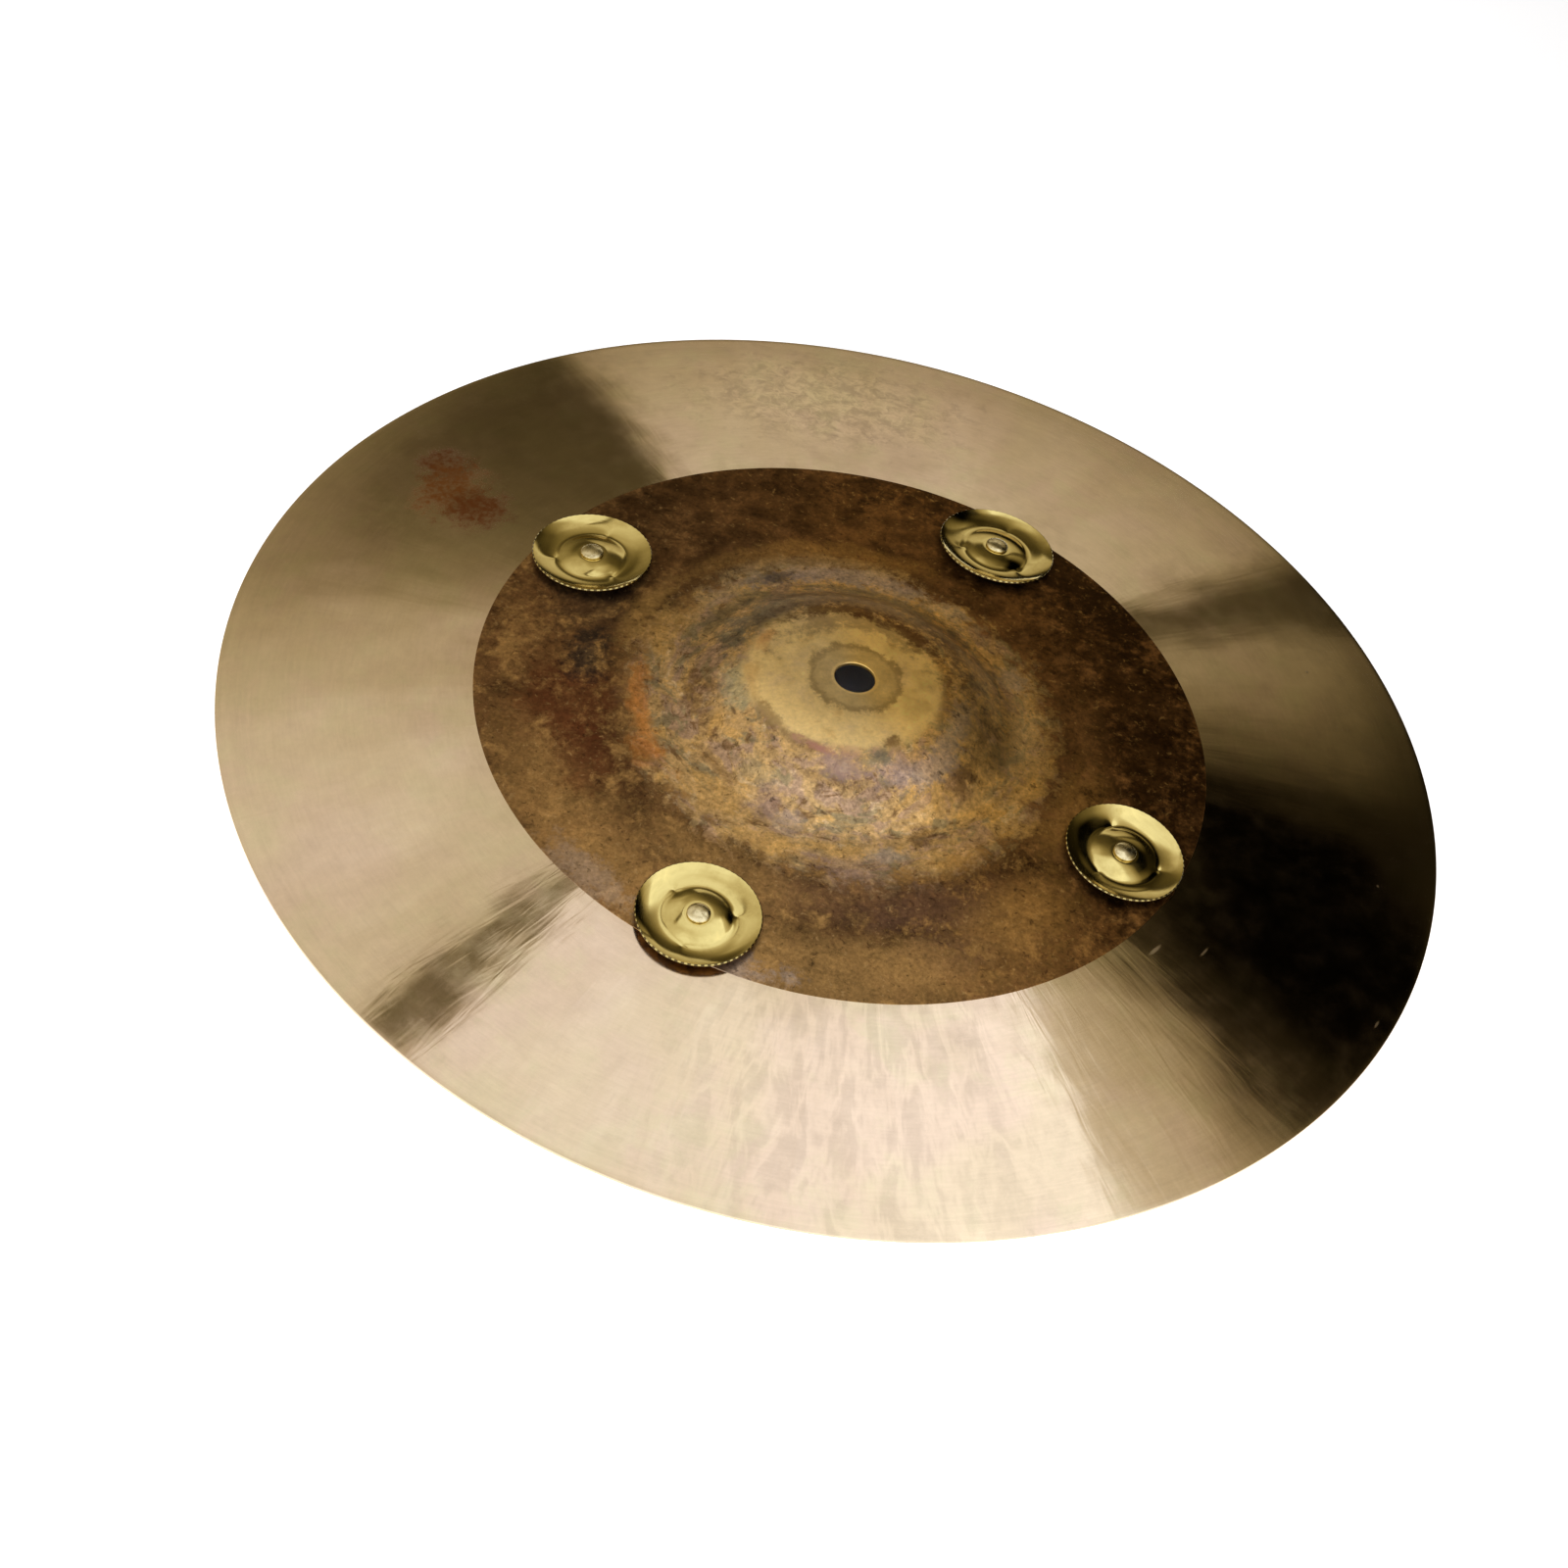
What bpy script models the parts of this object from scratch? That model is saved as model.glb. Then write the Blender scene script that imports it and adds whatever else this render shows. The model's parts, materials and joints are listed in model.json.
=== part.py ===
"""Sixteen inch effects cymbal that carries four loose jingles on rivets.

Real size in metres. The origin is the centre of the plane that the rim rests on, and +Z points
out through the bell. The shell is one turned and hammered sheet: a felt seat round the hole, a
domed bell, a raw centre disc and a lathed band out to the rim. Each jingle is a stamped cup and
brim with three pinched dimples. It hangs loose on a semi-tubular rivet that passes through an
oversize hole in the shell, so the rivet can lift and the jingle can spin.
"""

import math
from typing import NamedTuple

import bmesh
import bpy
from mathutils import Matrix, Vector

MM = 0.001

# Shell, from the hole outwards
HOLE_DIAMETER = 13.5 * MM
FELT_SEAT_DIAMETER = 28.6 * MM
CROWN_DIAMETER = 62.0 * MM
SHOULDER_DIAMETER = 96.0 * MM
BELL_DIAMETER = 120.0 * MM
RAW_DISC_DIAMETER = 243.0 * MM
CYMBAL_DIAMETER = 406.4 * MM

# Slope of the shell's top below level, where one arc of its profile hands over to the next
CROWN_SLOPE = math.radians(9.0)
SHOULDER_SLOPE = math.radians(38.0)
BOW_SLOPE_AT_BELL = math.radians(5.5)
BOW_SLOPE_AT_BAND = math.radians(6.5)
BOW_SLOPE_AT_RIM = math.radians(10.5)

# Metal of the shell
BELL_THICKNESS = 1.2 * MM
RIM_THICKNESS = 0.85 * MM
RIM_ROUNDING = 0.25 * MM
HOLE_EDGE_BREAK = 0.2 * MM
LATHE_DEPTH = 0.15 * MM

# Jingle stations: azimuth in degrees, radius on the shell, and the turn of the jingle in degrees
STATIONS = (
    (-105.7, 107.4 * MM, 4.0),
    (-17.9, 102.3 * MM, 13.0),
    (69.4, 103.7 * MM, 7.0),
    (155.5, 103.8 * MM, 42.0),
)

# Jingle, from its hole outwards
JINGLE_DIAMETER = 40.0 * MM
JINGLE_THICKNESS = 0.5 * MM
HUB_DIAMETER = 9.6 * MM
CREASE_DIAMETER = 23.0 * MM
LIP_WIDTH = 0.8 * MM
CUP_SLOPE_AT_HUB = math.radians(9.0)
CUP_SLOPE_AT_CREASE = math.radians(30.0)
BRIM_SLOPE_AT_CREASE = math.radians(-6.0)
BRIM_SLOPE_AT_LIP = math.radians(-26.0)
LIP_SLOPE = math.radians(-9.0)

# Pinched dimples that stand up out of the crease
DIMPLE_COUNT = 3
DIMPLE_CIRCLE_DIAMETER = 24.0 * MM
DIMPLE_HEIGHT = 0.8 * MM
DIMPLE_LENGTH = 6.4 * MM
DIMPLE_WIDTH = 4.2 * MM

# Rivet
SHANK_DIAMETER = 4.0 * MM
HEAD_DIAMETER = 7.6 * MM
HEAD_HEIGHT = 1.5 * MM
HEAD_EDGE = 0.4 * MM
FLARE_DIAMETER = 7.2 * MM
FLARE_THICKNESS = 0.8 * MM
TAIL_BORE_DIAMETER = 2.6 * MM
TAIL_BORE_DEPTH = 3.4 * MM

# Fits
RIVET_HOLE_CLEARANCE = 0.5 * MM
JINGLE_HOLE_CLEARANCE = 0.6 * MM
REST_GAP = 0.3 * MM
RIVET_LIFT = 3.0 * MM

# Facets
SHELL_SEGMENTS = 96
JINGLE_SEGMENTS = 42
RIVET_SEGMENTS = 20
DOME_RINGS = 4
SMOOTH_ANGLE = math.radians(35.0)
CUTTER_MARGIN = 3.0 * MM

BRONZE_BAND = ((0.66, 0.53, 0.36), 0.28, 1.0)
JINGLE_BRASS = ((0.72, 0.56, 0.22), 0.2, 1.0)
RIVET_NICKEL = ((0.75, 0.74, 0.70), 0.25, 1.0)


class Arc(NamedTuple):
    """One arc of a turned profile, which starts where the arc before it ends."""

    outer_radius: float
    inner_slope: float
    outer_slope: float
    rings: int


SHELL_ARCS = (
    Arc(FELT_SEAT_DIAMETER / 2, 0.0, 0.0, 1),
    Arc(CROWN_DIAMETER / 2, 0.0, CROWN_SLOPE, 2),
    Arc(SHOULDER_DIAMETER / 2, CROWN_SLOPE, SHOULDER_SLOPE, 4),
    Arc(BELL_DIAMETER / 2, SHOULDER_SLOPE, BOW_SLOPE_AT_BELL, 3),
    Arc(RAW_DISC_DIAMETER / 2, BOW_SLOPE_AT_BELL, BOW_SLOPE_AT_BAND, 2),
    Arc(CYMBAL_DIAMETER / 2, BOW_SLOPE_AT_BAND, BOW_SLOPE_AT_RIM, 3),
)
JINGLE_ARCS = (
    Arc(HUB_DIAMETER / 2, 0.0, 0.0, 1),
    Arc(CREASE_DIAMETER / 2, CUP_SLOPE_AT_HUB, CUP_SLOPE_AT_CREASE, 3),
    Arc(JINGLE_DIAMETER / 2 - LIP_WIDTH, BRIM_SLOPE_AT_CREASE, BRIM_SLOPE_AT_LIP, 2),
    Arc(JINGLE_DIAMETER / 2, LIP_SLOPE, LIP_SLOPE, 1),
)


def slope_on_arc(arc, inner_radius, radius):
    """Slope at a radius of an arc whose sine of slope grows evenly, as on a circle."""
    share = (radius - inner_radius) / (arc.outer_radius - inner_radius)
    inner_sine = math.sin(arc.inner_slope)
    outer_sine = math.sin(arc.outer_slope)
    return math.asin(inner_sine + share * (outer_sine - inner_sine))


def fall(arcs, radius):
    """Depth of a turned profile below its centre, and its slope, at a radius."""
    depth = 0.0
    slope = 0.0
    inner_radius = 0.0
    for arc in arcs:
        reached = min(radius, arc.outer_radius)
        slope = slope_on_arc(arc, inner_radius, reached)
        depth += (reached - inner_radius) * math.tan((arc.inner_slope + slope) / 2)
        if radius <= arc.outer_radius:
            break
        inner_radius = arc.outer_radius
    return depth, slope


def ring_radii(arcs, start_radius):
    """Radii of the rings that a turned profile needs, from its hole to its outer edge."""
    radii = [start_radius]
    inner_radius = start_radius
    for arc in arcs:
        for ring in range(1, arc.rings + 1):
            radii.append(inner_radius + (arc.outer_radius - inner_radius) * ring / arc.rings)
        inner_radius = arc.outer_radius
    return radii


def shell_thickness(radius):
    """Thickness of the finished sheet, which tapers evenly from the bell to the rim."""
    inner_radius = FELT_SEAT_DIAMETER / 2
    outer_radius = CYMBAL_DIAMETER / 2
    share = max(0.0, (radius - inner_radius) / (outer_radius - inner_radius))
    return BELL_THICKNESS + share * (RIM_THICKNESS - BELL_THICKNESS)


def shell_depth_of_sheet(radius):
    """Thickness of the sheet measured straight down at a radius."""
    return shell_thickness(radius) / math.cos(fall(SHELL_ARCS, radius)[1])


FOOT_RADIUS = CYMBAL_DIAMETER / 2 - RIM_ROUNDING
SHELL_HEIGHT = fall(SHELL_ARCS, FOOT_RADIUS)[0] + shell_depth_of_sheet(FOOT_RADIUS)


def shell_top(radius):
    """Height of the lathed top surface, whose underside stands on zero at the foot ring."""
    return SHELL_HEIGHT - fall(SHELL_ARCS, radius)[0]


def shell_underside(radius):
    """Height of the underside at a radius."""
    return shell_top(radius) - shell_depth_of_sheet(radius)


def raw_skin(radius):
    """Height by which the raw disc stands above the lathed surface."""
    return LATHE_DEPTH if radius <= RAW_DISC_DIAMETER / 2 else 0.0


def clear_objects():
    """Remove everything that the scene holds."""
    for scene_object in list(bpy.data.objects):
        bpy.data.objects.remove(scene_object)


def make_material(name, finish):
    """Principled material with a colour, a roughness and a metallic value."""
    colour, roughness, metallic = finish
    material = bpy.data.materials.new(name)
    material.use_nodes = True
    shader = material.node_tree.nodes["Principled BSDF"]
    shader.inputs["Base Color"].default_value = (*colour, 1.0)
    shader.inputs["Roughness"].default_value = roughness
    shader.inputs["Metallic"].default_value = metallic
    return material


def turned_mesh(name, outline, segments, closed_outline):
    """Spin an outline of radii and heights about the Z axis into a mesh.

    Points on the axis become single poles. A closed outline makes a ring-shaped solid, and an
    open one makes a solid that its two end points close on the axis, or a sheet.
    """
    turned = bmesh.new()
    points = [turned.verts.new((radius, 0.0, height)) for radius, height in outline]
    edges = [turned.edges.new(pair) for pair in zip(points, points[1:])]
    if closed_outline:
        edges.append(turned.edges.new((points[-1], points[0])))
    bmesh.ops.spin(
        turned,
        geom=points + edges,
        cent=(0.0, 0.0, 0.0),
        axis=(0.0, 0.0, 1.0),
        angle=math.tau,
        steps=segments,
        use_merge=True,
    )
    bmesh.ops.remove_doubles(turned, verts=turned.verts, dist=0.001 * MM)
    bmesh.ops.recalc_face_normals(turned, faces=turned.faces)
    mesh = bpy.data.meshes.new(name)
    turned.to_mesh(mesh)
    turned.free()
    return mesh


def smooth(mesh):
    """Shade a mesh smooth, with its real corners left sharp."""
    mesh.shade_smooth()
    mesh.set_sharp_from_angle(angle=SMOOTH_ANGLE)


def add_object(name, mesh, parent=None, material=None):
    """Link a mesh into the scene, under a parent where it has one."""
    scene_object = bpy.data.objects.new(name, mesh)
    bpy.context.scene.collection.objects.link(scene_object)
    scene_object.parent = parent
    if material is not None and not mesh.materials:
        mesh.materials.append(material)
    return scene_object


def shell_outline():
    """Closed outline of the shell: along its top to the rim, then back under it to the hole."""
    hole_radius = HOLE_DIAMETER / 2
    rim_radius = CYMBAL_DIAMETER / 2
    step_radius = RAW_DISC_DIAMETER / 2
    inside = [radius for radius in ring_radii(SHELL_ARCS, hole_radius)[1:-1]]
    top = [(hole_radius + HOLE_EDGE_BREAK, shell_top(0.0) + LATHE_DEPTH)]
    for radius in inside:
        top.append((radius, shell_top(radius) + raw_skin(radius)))
        if math.isclose(radius, step_radius):
            foot_of_step = radius + LATHE_DEPTH
            top.append((foot_of_step, shell_top(foot_of_step)))
    top.append((FOOT_RADIUS, shell_top(FOOT_RADIUS)))
    rim = [
        (rim_radius, shell_top(rim_radius) - RIM_ROUNDING),
        (rim_radius, shell_underside(rim_radius) + RIM_ROUNDING),
        (FOOT_RADIUS, shell_underside(FOOT_RADIUS)),
    ]
    under = [(radius, shell_underside(radius)) for radius in reversed(inside)]
    hole = [
        (hole_radius + HOLE_EDGE_BREAK, shell_underside(0.0)),
        (hole_radius, shell_underside(0.0) + HOLE_EDGE_BREAK),
        (hole_radius, shell_top(0.0) + LATHE_DEPTH - HOLE_EDGE_BREAK),
    ]
    return top + rim + under + hole


def add_station(number, azimuth, radius):
    """Empty on the shell's top at a jingle's place, with its Z axis square to the surface."""
    slope = fall(SHELL_ARCS, radius)[1]
    station = bpy.data.objects.new(f"station_{number}", None)
    bpy.context.scene.collection.objects.link(station)
    around = Matrix.Rotation(math.radians(azimuth), 4, "Z")
    height = shell_top(radius) + raw_skin(radius)
    outward = Matrix.Translation(Vector((radius, 0.0, height)))
    lean = Matrix.Rotation(slope, 4, "Y")
    station.matrix_world = around @ outward @ lean
    return station


def cut_rivet_hole(shell, number, station, radius):
    """Drill the oversize rivet hole square through the shell at a station."""
    outline_radius = SHANK_DIAMETER / 2 + RIVET_HOLE_CLEARANCE
    reach = shell_thickness(radius) + CUTTER_MARGIN
    outline = [
        (0.0, CUTTER_MARGIN),
        (outline_radius, CUTTER_MARGIN),
        (outline_radius, -reach),
        (0.0, -reach),
    ]
    mesh = turned_mesh(f"rivet_hole_{number}", outline, RIVET_SEGMENTS, False)
    cutter = add_object(f"rivet_hole_{number}", mesh, station)
    cutter.hide_render = True
    cutter.display_type = "WIRE"
    cut = shell.modifiers.new(f"rivet_hole_{number}", "BOOLEAN")
    cut.operation = "DIFFERENCE"
    cut.solver = "EXACT"
    cut.object = cutter


def dimple_rise(radius, angle):
    """Height that the nearest pinched dimple adds at a place on the jingle."""
    pitch = math.tau / DIMPLE_COUNT
    off_centre = (angle + pitch / 2) % pitch - pitch / 2
    across = radius * off_centre / (DIMPLE_WIDTH / 2)
    along = (radius - DIMPLE_CIRCLE_DIAMETER / 2) / (DIMPLE_LENGTH / 2)
    reach = across * across + along * along
    return DIMPLE_HEIGHT * max(0.0, 1.0 - reach) ** 2


def jingle_seat_depth():
    """Depth of the crease that the jingle rests on below its hub."""
    return fall(JINGLE_ARCS, CREASE_DIAMETER / 2)[0]


def jingle_mesh():
    """Underside of a jingle: cup, crease and upturned brim, pinched at three places."""
    hole_radius = SHANK_DIAMETER / 2 + JINGLE_HOLE_CLEARANCE
    hub_height = REST_GAP + jingle_seat_depth()
    outline = []
    for radius in ring_radii(JINGLE_ARCS, hole_radius):
        outline.append((radius, hub_height - fall(JINGLE_ARCS, radius)[0]))
    mesh = turned_mesh("jingle", outline, JINGLE_SEGMENTS, False)
    stamped = bmesh.new()
    stamped.from_mesh(mesh)
    for vertex in stamped.verts:
        radius = math.hypot(vertex.co.x, vertex.co.y)
        angle = math.atan2(vertex.co.y, vertex.co.x)
        vertex.co.z += dimple_rise(radius, angle)
    if sum(face.normal.z for face in stamped.faces) < 0.0:
        bmesh.ops.reverse_faces(stamped, faces=stamped.faces)
    stamped.to_mesh(mesh)
    stamped.free()
    smooth(mesh)
    return mesh


def add_jingle(number, station, turn, mesh, material):
    """Jingle on its station, turned to where it has come to rest."""
    jingle = add_object(f"jingle_{number}", mesh, station, material)
    jingle.rotation_euler.z = math.radians(turn)
    sheet = jingle.modifiers.new("sheet", "SOLIDIFY")
    sheet.thickness = JINGLE_THICKNESS
    sheet.offset = 1.0
    sheet.use_even_offset = True
    return jingle


def head_dome(base_height):
    """Rounded top of the rivet's head, from its crown to its edge."""
    dome_height = HEAD_HEIGHT - HEAD_EDGE
    points = []
    for ring in range(DOME_RINGS + 1):
        angle = math.pi / 2 * ring / DOME_RINGS
        radius = HEAD_DIAMETER / 2 * math.sin(angle)
        height = base_height + HEAD_EDGE + dome_height * math.cos(angle)
        points.append((radius, height))
    points[0] = (0.0, points[0][1])
    return points


def rivet_mesh(number, radius):
    """Rivet from its domed head to the rolled flare that keeps it in the shell."""
    shank_radius = SHANK_DIAMETER / 2
    bore_radius = TAIL_BORE_DIAMETER / 2
    flare_radius = FLARE_DIAMETER / 2
    head_base = REST_GAP + jingle_seat_depth() + JINGLE_THICKNESS + REST_GAP
    flare_top = -(shell_thickness(radius) + raw_skin(radius) + REST_GAP + RIVET_LIFT)
    tail_end = flare_top - FLARE_THICKNESS
    roll = FLARE_THICKNESS / 3
    outline = head_dome(head_base) + [
        (HEAD_DIAMETER / 2, head_base),
        (shank_radius, head_base),
        (shank_radius, flare_top),
        (flare_radius - roll, flare_top),
        (flare_radius, flare_top - roll),
        (flare_radius - roll, tail_end),
        (bore_radius + roll, tail_end),
        (bore_radius, tail_end + roll),
        (bore_radius, tail_end + TAIL_BORE_DEPTH),
        (0.0, tail_end + TAIL_BORE_DEPTH + bore_radius / 2),
    ]
    mesh = turned_mesh(f"rivet_{number}", outline, RIVET_SEGMENTS, False)
    smooth(mesh)
    return mesh


def build():
    """Make the shell, then a rivet and a jingle at every station."""
    clear_objects()
    bronze = make_material("bronze", BRONZE_BAND)
    brass = make_material("jingle_brass", JINGLE_BRASS)
    nickel = make_material("rivet_nickel", RIVET_NICKEL)

    shell_mesh = turned_mesh("cymbal", shell_outline(), SHELL_SEGMENTS, True)
    smooth(shell_mesh)
    shell = add_object("cymbal", shell_mesh, None, bronze)
    jingle_sheet = jingle_mesh()
    for number, (azimuth, radius, turn) in enumerate(STATIONS, start=1):
        station = add_station(number, azimuth, radius)
        cut_rivet_hole(shell, number, station, radius)
        add_jingle(number, station, turn, jingle_sheet, brass)
        add_object(f"rivet_{number}", rivet_mesh(number, radius), station, nickel)


build()
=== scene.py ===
"""Finished look of a hammered bronze effects cymbal with four riveted brass jingles.

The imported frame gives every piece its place. Each sub-assembly here is a class that turns a finer
mesh over its own node and dresses it, and the studio round it is a class of its own.
"""

import json
import logging
import math
from dataclasses import dataclass, field
from enum import Enum
from typing import Any, Iterable, Optional, Sequence

import bmesh
import bpy
from mathutils import Matrix, Vector


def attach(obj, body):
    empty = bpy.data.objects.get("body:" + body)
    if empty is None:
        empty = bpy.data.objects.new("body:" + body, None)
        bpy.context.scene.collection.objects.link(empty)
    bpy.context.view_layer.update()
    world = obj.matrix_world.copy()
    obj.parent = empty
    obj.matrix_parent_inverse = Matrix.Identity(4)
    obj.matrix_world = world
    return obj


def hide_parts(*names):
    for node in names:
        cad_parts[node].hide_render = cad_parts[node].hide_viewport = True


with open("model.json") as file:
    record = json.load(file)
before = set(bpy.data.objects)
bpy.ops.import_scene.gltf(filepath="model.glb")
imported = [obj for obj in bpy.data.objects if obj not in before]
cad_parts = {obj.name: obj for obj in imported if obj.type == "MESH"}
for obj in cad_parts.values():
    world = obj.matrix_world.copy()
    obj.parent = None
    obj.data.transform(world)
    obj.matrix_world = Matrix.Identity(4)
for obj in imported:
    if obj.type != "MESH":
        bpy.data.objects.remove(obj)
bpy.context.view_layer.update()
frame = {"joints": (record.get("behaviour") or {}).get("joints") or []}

LOG = logging.getLogger("cymbal")
MM = 0.001
WELD = 0.001 * MM
TURNED_UV = "turned"

Colour = tuple[float, float, float]
Socket = bpy.types.NodeSocket


class Zone(Enum):
    """Faces of the shell that leave the workshop with a finish of their own."""

    RAW = 0
    BAND = 1
    UNDER = 2


class Wave(Enum):
    """Shapes that a mask's edge can have."""

    LINEAR = "LINEAR"
    SMOOTH = "SMOOTHSTEP"


class Graph:
    """Short way to add, fill and link the nodes of one tree."""

    def __init__(self, tree: bpy.types.NodeTree) -> None:
        """Keep the tree that the nodes go into."""
        self.tree = tree

    def feed(self, socket: Socket, value: Any) -> None:
        """Link a socket to another socket, or set it to a plain value."""
        if isinstance(value, bpy.types.NodeSocket):
            self.tree.links.new(value, socket)
        elif value is not None:
            socket.default_value = value

    def node(self, kind: str, inputs: Optional[dict] = None, **settings: Any) -> bpy.types.Node:
        """Add a node.

        Args:
            kind: Blender's name of the node type.
            inputs: values or sockets by input name or number.
            settings: properties of the node.

        Returns:
            The new node.
        """
        made = self.tree.nodes.new(kind)
        for name, value in settings.items():
            setattr(made, name, value)
        for name, value in (inputs or {}).items():
            self.feed(made.inputs[name], value)
        return made

    def maths(self, operation: str, *operands: Any) -> Socket:
        """Value of a maths operation on up to three operands."""
        made = self.node("ShaderNodeMath", dict(enumerate(operands)), operation=operation)
        return made.outputs[0]

    def vector(self, operation: str, *operands: Any, scale: Any = None) -> Socket:
        """Vector, or for a length or a dot product the value, of a vector operation."""
        made = self.node("ShaderNodeVectorMath", dict(enumerate(operands)), operation=operation)
        if scale is not None:
            self.feed(made.inputs["Scale"], scale)
        single = operation in ("LENGTH", "DOT_PRODUCT", "DISTANCE")
        return made.outputs["Value" if single else "Vector"]

    def ramp_between(
        self, value: Any, low: float, high: float, start: float = 0.0, end: float = 1.0,
        wave: Wave = Wave.SMOOTH,
    ) -> Socket:
        """Value carried from one range to another and held at its ends.

        Args:
            value: what is carried.
            low: where the range starts.
            high: where the range ends, which may lie below the start.
            start: result at the low end.
            end: result at the high end.
            wave: shape of the rise between them.

        Returns:
            The carried value.
        """
        if low > high:
            low, high, start, end = high, low, end, start
        made = self.node(
            "ShaderNodeMapRange",
            {"Value": value, "From Min": low, "From Max": high, "To Min": start, "To Max": end},
            interpolation_type=wave.value,
        )
        return made.outputs["Result"]

    def band(self, value: Any, centre: float, reach: float, feather: float) -> Socket:
        """Mask that is one within reach of a centre and fades to nothing over a feather."""
        off_centre = self.maths("ABSOLUTE", self.maths("SUBTRACT", value, centre))
        return self.ramp_between(off_centre, reach + feather, reach)

    def blend(self, share: Any, first: Any, second: Any) -> Socket:
        """Colour mixed from two by a share."""
        made = self.node("ShaderNodeMix", data_type="RGBA")
        self.feed(made.inputs[0], share)
        for place, value in ((6, first), (7, second)):
            self.feed(made.inputs[place], (*value, 1.0) if isinstance(value, tuple) else value)
        return made.outputs[2]

    def blend_values(self, share: Any, first: Any, second: Any) -> Socket:
        """Number mixed from two by a share."""
        made = self.node("ShaderNodeMix", {0: share, 2: first, 3: second}, data_type="FLOAT")
        return made.outputs[0]

    def noise(
        self, place: Any, size: float, detail: float = 3.0, roughness: float = 0.5,
        distortion: float = 0.0, seed: float = 0.0,
    ) -> Socket:
        """Even noise about one half.

        Args:
            place: vector that the noise is read at, in metres.
            size: width of its largest patches in metres.
            detail: octaves added to it.
            roughness: weight of the finer octaves.
            distortion: how far it is pulled about.
            seed: place along a fourth axis.

        Returns:
            The noise value.
        """
        made = self.node(
            "ShaderNodeTexNoise",
            {
                "Vector": place, "W": seed, "Scale": 1.0 / size, "Detail": detail,
                "Roughness": roughness, "Distortion": distortion,
            },
            noise_dimensions="4D",
        )
        return made.outputs[0]


@dataclass(frozen=True)
class Arc:
    """One arc of a turned profile, which starts where the arc before it ends."""

    outer_radius: float
    inner_slope: float
    outer_slope: float

    def slope(self, inner_radius: float, radius: float) -> float:
        """Slope at a radius, whose sine grows evenly as on a circle."""
        share = (radius - inner_radius) / (self.outer_radius - inner_radius)
        inner_sine = math.sin(self.inner_slope)
        return math.asin(inner_sine + share * (math.sin(self.outer_slope) - inner_sine))


@dataclass(frozen=True)
class Profile:
    """Turned profile made of arcs from its centre outwards."""

    arcs: tuple[Arc, ...]

    def fall(self, radius: float) -> tuple[float, float]:
        """Depth below the centre, and slope, at a radius."""
        depth = 0.0
        slope = 0.0
        inner_radius = 0.0
        for arc in self.arcs:
            reached = min(radius, arc.outer_radius)
            slope = arc.slope(inner_radius, reached)
            depth += (reached - inner_radius) * math.tan((arc.inner_slope + slope) / 2)
            if radius <= arc.outer_radius:
                break
            inner_radius = arc.outer_radius
        return depth, slope

    def rings(self, start: float, end: float, spacing: float) -> list[float]:
        """Radii from start to end, no further apart than the spacing, with every arc's end.

        Args:
            start: first radius.
            end: last radius.
            spacing: widest step between rings.

        Returns:
            The radii in order.
        """
        stops = [start]
        stops += [arc.outer_radius for arc in self.arcs if start < arc.outer_radius < end]
        stops.append(end)
        radii = [start]
        for low, high in zip(stops, stops[1:]):
            steps = max(1, math.ceil((high - low) / spacing))
            radii += [low + (high - low) * step / steps for step in range(1, steps + 1)]
        return radii


def degrees(value: float) -> float:
    """Angle in radians of an angle in degrees."""
    return math.radians(value)


def outline_mesh(name: str, outline: Iterable[tuple[float, float]]) -> bpy.types.Mesh:
    """Mesh of loose points in the XZ plane, one for each radius and height of an outline."""
    mesh = bpy.data.meshes.new(name)
    mesh.from_pydata([(radius, 0.0, height) for radius, height in outline], [], [])
    return mesh


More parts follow.
